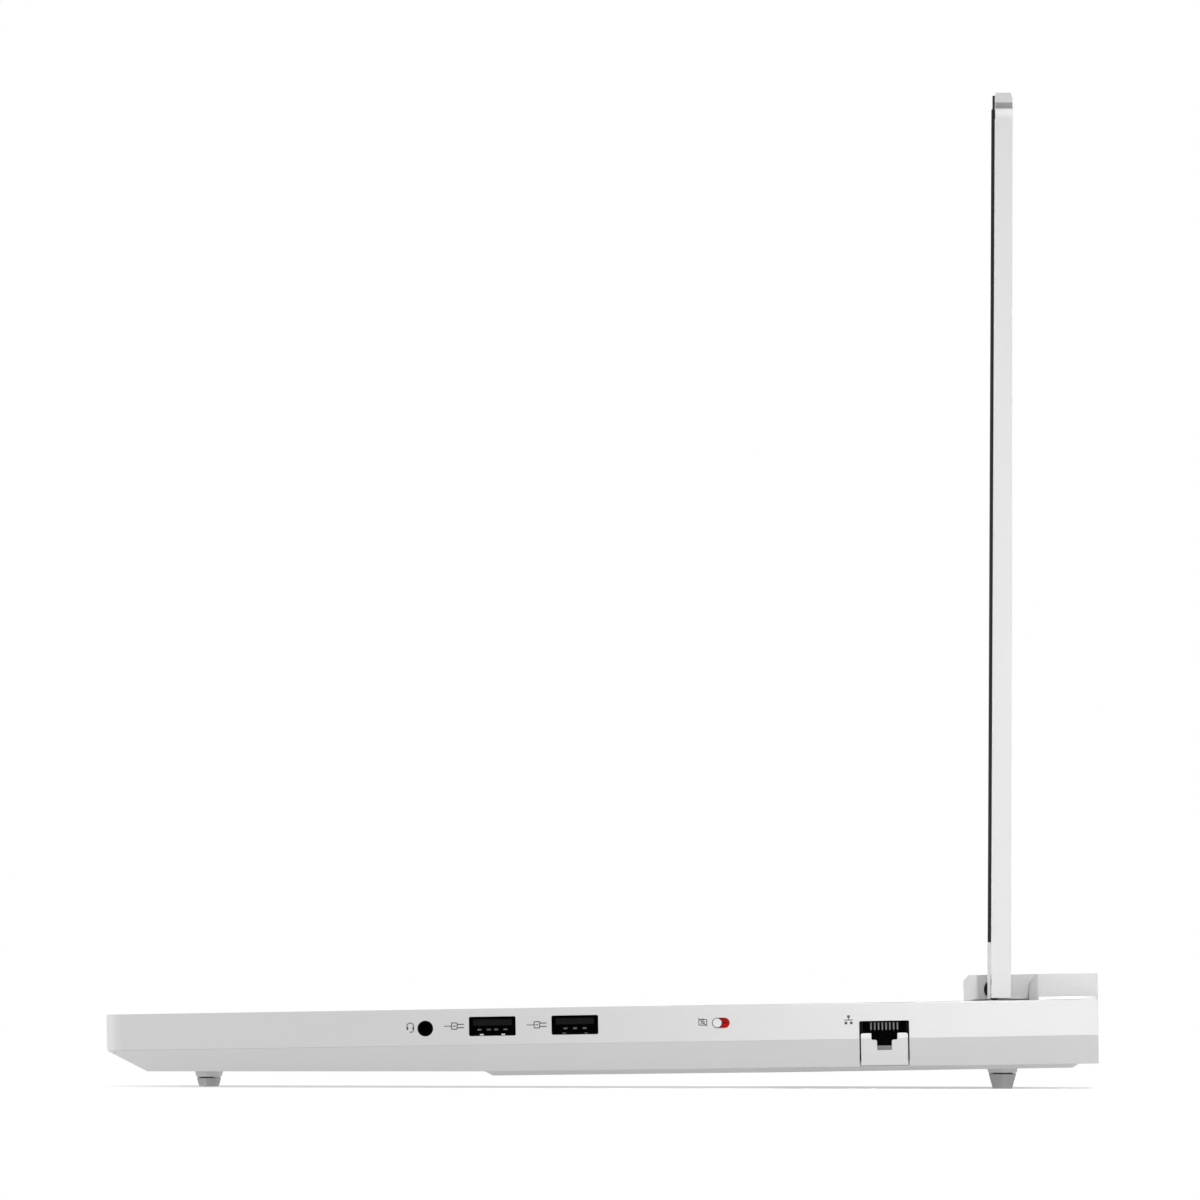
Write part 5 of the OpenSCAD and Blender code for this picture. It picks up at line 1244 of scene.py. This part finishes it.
@dataclass
class Prints:
    """The pictograms beside the openings.

    Attributes:
        line: Height of the pictograms' middles, below the deck.
    """

    line: float = -4.6

    def build(self) -> None:
        """Prints each pictogram ahead of its opening."""
        for name, icon, node, ahead, lift, left in (
                ("headset_print", self.headset, "audio_jack", 4.05, -0.1, False),
                ("usb_socket_front_print", self.plug, "usb_socket_front", 10.35, 0.0, False),
                ("usb_socket_rear_print", self.plug, "usb_socket_rear", 10.35, 0.0, False),
                ("shutter_print", self.camera, "shutter_slot", 4.85, 0.05, False),
                ("network_print", self.network, "network_socket", 9.6, 0.0, False),
                ("usb_left_print", self.plug, "usb_socket_left", 10.35, 0.0, True),
                ("usb_c_print", self.plug, "usb_c_sockets", 0.0, 0.0, True),
                ("video_print", self.monitor, "video_socket", 10.2, 0.0, True),
                ("power_print", self.power, "power_inlet", 8.8, 0.0, True)):
            low, high = DECK.node_box(node)
            icon().print_on(name, (low.y + high.y) / 2 - ahead, self.line + lift, left)

    @staticmethod
    def headset() -> Pictogram:
        """A headset with its microphone."""
        icon = Pictogram().bow((0, 0.2), 0.92, 0, 180, 0.22)
        for side in (-1, 1):
            icon.fill([(side * 0.58, -0.75), (side * 1.02, -0.75), (side * 1.02, 0.15), (side * 0.58, 0.15)])
        return icon.bow((0.3, -0.75), 0.6, 270, 360, 0.18).bar((0.32, -1.35), (-0.1, -1.35), 0.3)

    @staticmethod
    def plug() -> Pictogram:
        """A generic plug on its lead."""
        icon = Pictogram().bar((-2.7, 0), (-0.7, 0), 0.2).frame(1.5, 1.7, (0.1, 0), 0.24)
        icon.bar((-0.3, 0), (0.5, 0), 0.24)
        return icon.bar((0.95, 0.45), (2.7, 0.45), 0.26).bar((0.95, -0.45), (2.7, -0.45), 0.26)

    @staticmethod
    def camera() -> Pictogram:
        """A crossed camera."""
        icon = Pictogram().frame(2.1, 1.5, (0, -0.1), 0.22).bow((0, -0.1), 0.4, 0, 359, 0.2)
        return icon.bar((-0.35, 0.78), (0.35, 0.78), 0.2).bar((-1.2, 1.05), (1.15, -1.15), 0.2)

    @staticmethod
    def network() -> Pictogram:
        """Three linked boxes."""
        icon = Pictogram().bar((0, 0.55), (0, 0), 0.24).bar((-1.15, -0.05), (1.15, -0.05), 0.24)
        for u, v in ((0, 0.9), (-0.72, -0.85), (0.72, -0.85)):
            icon.fill([(u - 0.36, v - 0.34), (u + 0.36, v - 0.34), (u + 0.36, v + 0.34), (u - 0.36, v + 0.34)])
        return icon

    @staticmethod
    def monitor() -> Pictogram:
        """A screen on its stand."""
        return Pictogram().frame(2.4, 1.5, (0, 0.3)).bar((-0.7, -0.95), (0.7, -0.95), 0.25)

    @staticmethod
    def power() -> Pictogram:
        """A straight and a broken line, for direct current."""
        icon = Pictogram().bar((-1.1, 0.35), (1.1, 0.35), 0.28)
        for u in (-0.85, 0.0, 0.85):
            icon.bar((u - 0.25, -0.35), (u + 0.25, -0.35), 0.28)
        return icon


# ---------------------------------------------------------------- lid

@dataclass
class Lid:
    """The lid: a coated sheet cover, the black bezel and its soft lip, the screen and the camera.

    Attributes:
        corner: Centre of the rounding at the cover's upper right corner.
        shade_r: Inner and outer radius of the grey bands of painted shade in that rounding, where it faces up.
        shade_turn: Angles that a band spans, in degrees.
        shade_y: Where a band starts and ends through the lid's thickness.
        mask_inset: How much smaller than the panel the printed mask is, across.
        mask_w: Width of the mask's line.
        panel_t: The panel's own thickness; its lean takes up the rest of its depth.
        lens_drop: How far the lens lies below the camera module's top.
        microphones_x: The microphones' places, left and right of the lens.
        lamp_x: The camera lamp's place.
    """

    corner: Point2 = (174.4, 234.8)
    shade_r: Point2 = (4.6, 4.82)
    shade_turn: tuple[int, int] = (40, 86)
    shade_y: Point2 = (-0.2, 4.4)
    mask_inset: float = 5.2
    mask_w: float = 1.2
    panel_t: float = 2.2
    lens_drop: float = 1.2
    microphones_x: Point2 = (-42, 42)
    lamp_x: float = -3.6

    def build(self) -> None:
        """Makes the cover and what lies in it."""
        softened("lid_cover", LID, "lid", 0.35, 3)
        softened("display_bezel", LID, "lid", 0.12, 2)
        softened("bezel_gasket", LID, "lid", 0.15, 2)
        softened("chin_strip", LID, "lid", 0.2, 3)
        dress_node("display_panel", SCREEN)
        self.corner_shade_bands()
        self.screen_border()
        self.camera()

    def corner_shade_bands(self) -> None:
        """Grey bands of painted shade on the cover's two upper corners, where the rounding faces up."""
        (inner, outer), (start, end) = self.shade_r, self.shade_turn
        for side, turn in (("left", -1), ("right", 1)):
            bow = arc(self.corner, outer, start, end, 8) + arc(self.corner, inner, end, start, 8)
            shade_band = Shape().prism([(turn * u, v) for u, v in bow], *self.shade_y, Plane.XZ)
            shade_band.piece("corner_shade_" + side, CORNER_SHADE, "lid", LID, "bezel_black")

    def screen_border(self) -> None:
        """The black mask printed round the picture area, which leans as the panel does."""
        low, high = LID.node_box("display_panel")
        width, height = high.x - low.x - self.mask_inset, high.z - low.z - self.mask_inset
        slope = (high.y - low.y - self.panel_t) / (high.z - low.z)
        outer = round_rect(width, height, 0.3, 2)
        inner = round_rect(width - 2 * self.mask_w, height - 2 * self.mask_w, 0.3, 2)
        mask = Shape().ring(outer, inner, -0.03, 0.02, Plane.XZ)
        mask.bm.transform(Matrix.Rotation(-math.atan(slope), 4, "X"))
        place = LID.shifted(0, (low.y + high.y - self.panel_t) / 2, (low.z + high.z) / 2)
        mask.piece("screen_mask", BEZEL, "lid", place, "display_glass")

    def camera(self) -> None:
        """The lens in its ring, the lamp beside it and the two microphones."""
        softened("camera_module", LID, "lid", 0.1, 2)
        low, high = LID.node_box("camera_module")
        place = LID.shifted(0, low.y, high.z - self.lens_drop)
        glass = Shape().loft([[Vector((r * math.cos(t), y, r * math.sin(t)))
                               for t in (math.radians(a) for a in range(0, 360, 12))]
                              for y, r in ((0.3, 0.75), (0.06, 0.75), (0.0, 0.6), (-0.04, 0.3))])
        glass.piece("camera_glass", LENS, "lid", place, "display_glass")
        ring = Shape().ring(arc((0, 0), 1.15, 0, 352, 44), arc((0, 0), 0.8, 0, 352, 44), -0.06, 0.3, Plane.XZ)
        ring.piece("camera_ring", NYLON, "lid", place, "bezel_black")
        dots = Shape()
        for x in (self.microphones_x[0], self.lamp_x, self.microphones_x[1]):
            dots.rod((x, 0), 0.45, -0.02, 0.3, Plane.XZ, 20)
        dots.piece("microphones_and_lamp", INSULATOR, "lid", place, "bezel_black")


@dataclass
class Inside:
    """What shows only through the grilles, the key windows and the sockets."""

    def build(self) -> None:
        """Gives the inner solids their finishes."""
        for node, finish in INSIDE_FINISHES.items():
            dress_node(node, finish)


# ---------------------------------------------------------------- studio

# The floor's white and its glow, for the light that it sends back and for what the camera sees of it
FLOOR_SHADE = (0.55, 0.95)
FLOOR_GLOW = (0.42, 0.26)
# How strongly the sky lights the object, where 1 is white
WORLD_LIGHT = 0.78
# Each lamp's name, place, aim, diameter, power and beam angle; the two in the middle wear honeycomb
# grids, one for the rear of the side wall and one for the lid
LAMPS: list[tuple[str, Point3, Point3, float, float, float]] = [
    ("overhead_lamp", (0.1, -0.2, 2.2), (0.0, 0.0, 0.1), 1.6, 2.0, 180.0),
    ("side_grid_lamp", (1.88, 0.45, 1.94), (0.18, 0.15, 0.02), 0.12, 0.054, 7.6),
    ("lid_grid_lamp", (1.88, 0.45, 1.94), (0.18, 0.11, 0.20), 0.12, 0.035, 7.6),
    ("front_lamp", (0.25, -1.25, 0.2), (0.15, -0.13, 0.01), 0.5, 2.2, 180.0),
]


@dataclass
class Studio:
    """The pale floor, the lamps and the camera.

    Attributes:
        picture_mm: Width of the picture where it cuts the side wall's plane.
        distance: From that plane to the camera, in metres.
        eye_y, eye_z: The camera's place, behind the middle and above the table, in millimetres.
        aim_y, aim_z: What the middle of the picture shows on the side wall's plane.
        roll: The camera's tilt about its own line of sight, in degrees.
        sensor_mm: Width of the camera's sensor.
    """

    picture_mm: float = 324.0
    distance: float = 14.3
    eye_y: float = 104.5
    eye_z: float = 24.0
    aim_y: float = -0.9
    aim_z: float = 131.8
    roll: float = 0.108
    sensor_mm: float = 36.0

    def build(self) -> None:
        """Makes everything that isn't the object."""
        self.add_camera()
        self.add_floor()
        self.light_world()
        self.add_lamps()
        bpy.context.scene.view_settings.view_transform = "Standard"

    def add_camera(self) -> None:
        """A long lens at the height of the deck, looking at the right side."""
        wall_x = CAD_BOX[1].x
        eye = Vector((wall_x + self.distance, self.eye_y * MM, self.eye_z * MM))
        aim = Vector((wall_x, self.aim_y * MM, self.aim_z * MM))
        data = bpy.data.cameras.new("camera")
        data.sensor_width = self.sensor_mm
        data.lens = self.sensor_mm * self.distance / (self.picture_mm * MM)
        data.clip_start, data.clip_end = 0.1, 200.0
        camera = bpy.data.objects.new("camera", data)
        camera.matrix_world = (Matrix.Translation(eye) @ (aim - eye).to_track_quat("-Z", "Y").to_matrix().to_4x4()
                               @ Matrix.Rotation(math.radians(self.roll), 4, "Z"))
        bpy.context.scene.collection.objects.link(camera)
        bpy.context.scene.camera = camera

    def add_floor(self) -> None:
        """A wide white table, which keeps the object's shadow."""
        shape = Shape().prism(round_rect(60000, 60000, 8000, 12), -20, 0)
        mesh = bpy.data.meshes.new("floor")
        shape.bm.transform(TABLE.matrix)
        shape.bm.to_mesh(mesh)
        floor = bpy.data.objects.new("floor", mesh)
        bpy.context.scene.collection.objects.link(floor)
        made = bpy.data.materials.new("white_paper")
        made.use_nodes = True
        tree = made.node_tree
        shader = tree.nodes["Principled BSDF"]
        shader.inputs["Roughness"].default_value = 0.9
        shader.inputs["Specular IOR Level"].default_value = 0.0
        shader.inputs["Emission Color"].default_value = linear("#ffffff")
        seen = self.seen_directly(tree)
        paper = add_node(tree, "MapRange", {"To Min": FLOOR_SHADE[0], "To Max": FLOOR_SHADE[1]}, Value=seen)
        tree.links.new(paper.outputs["Result"], shader.inputs["Base Color"])
        lift = add_node(tree, "MapRange", {"To Min": FLOOR_GLOW[0], "To Max": FLOOR_GLOW[1]}, Value=seen)
        tree.links.new(lift.outputs["Result"], shader.inputs["Emission Strength"])
        mesh.materials.append(made)
        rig.stage(floor)

    @staticmethod
    def seen_directly(tree: bpy.types.NodeTree) -> bpy.types.NodeSocket:
        """1 for rays that come from the camera, or from it through a mirror or glass."""
        path = add_node(tree, "LightPath").outputs
        first = add_node(tree, "Math", {"operation": "MAXIMUM"})
        tree.links.new(path["Is Camera Ray"], first.inputs[0])
        tree.links.new(path["Is Glossy Ray"], first.inputs[1])
        both = add_node(tree, "Math", {"operation": "MAXIMUM"})
        tree.links.new(first.outputs[0], both.inputs[0])
        tree.links.new(path["Is Transmission Ray"], both.inputs[1])
        return both.outputs[0]

    def light_world(self) -> None:
        """An even sky, white to the camera and in reflections."""
        world = bpy.data.worlds.new("studio")
        world.use_nodes = True
        tree = world.node_tree
        tree.nodes.clear()
        soft = add_node(tree, "Background", {"Color": (1, 1, 1, 1), "Strength": WORLD_LIGHT})
        white = add_node(tree, "Background", {"Color": (1, 1, 1, 1), "Strength": 1.0})
        mixed = add_node(tree, "MixShader")
        tree.links.new(self.seen_directly(tree), mixed.inputs[0])
        tree.links.new(soft.outputs[0], mixed.inputs[1])
        tree.links.new(white.outputs[0], mixed.inputs[2])
        out = add_node(tree, "OutputWorld")
        tree.links.new(mixed.outputs[0], out.inputs["Surface"])
        bpy.context.scene.world = world

    def add_lamps(self) -> None:
        """A large soft lamp over the object, two gridded ones from its right and a soft one in front."""
        for name, place, target, size, watts, spread in LAMPS:
            data = bpy.data.lights.new(name, "AREA")
            data.shape = "DISK"
            data.size = size
            data.energy = watts
            data.spread = math.radians(spread)
            lamp = bpy.data.objects.new(name, data)
            lamp.location = place
            lamp.visible_camera = False
            aim = Vector(target) - Vector(place)
            lamp.rotation_euler = aim.to_track_quat("-Z", "Y").to_euler()
            bpy.context.scene.collection.objects.link(lamp)


ASSEMBLIES = (
    BaseHousing(), Underside(), Keyboard(), PalmRest(), UsbSocket("usb_socket_front"),
    UsbSocket("usb_socket_rear", fingers=(-2.6, 0.0, 2.6), spring_x=-6.0),
    UsbSocket("usb_socket_left", left=True), AudioJack(), ShutterSwitch(), NetworkSocket(),
    SmallSockets(), Prints(), Lid(), Inside(), Studio(),
)


def main() -> None:
    """Builds each sub-assembly in order, then writes the two boxes."""
    logging.basicConfig(level=logging.INFO, format="%(name)s: %(message)s")
    for assembly in ASSEMBLIES:
        log.info("building %s", type(assembly).__name__)
        assembly.build()
    sizes = {"cad": [list(c) for c in CAD_BOX], "visual": [list(c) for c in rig.bounds()]}
    with open(SIZE_FILE, "w") as file:
        json.dump(sizes, file)


if __name__ == "__main__":
    main()
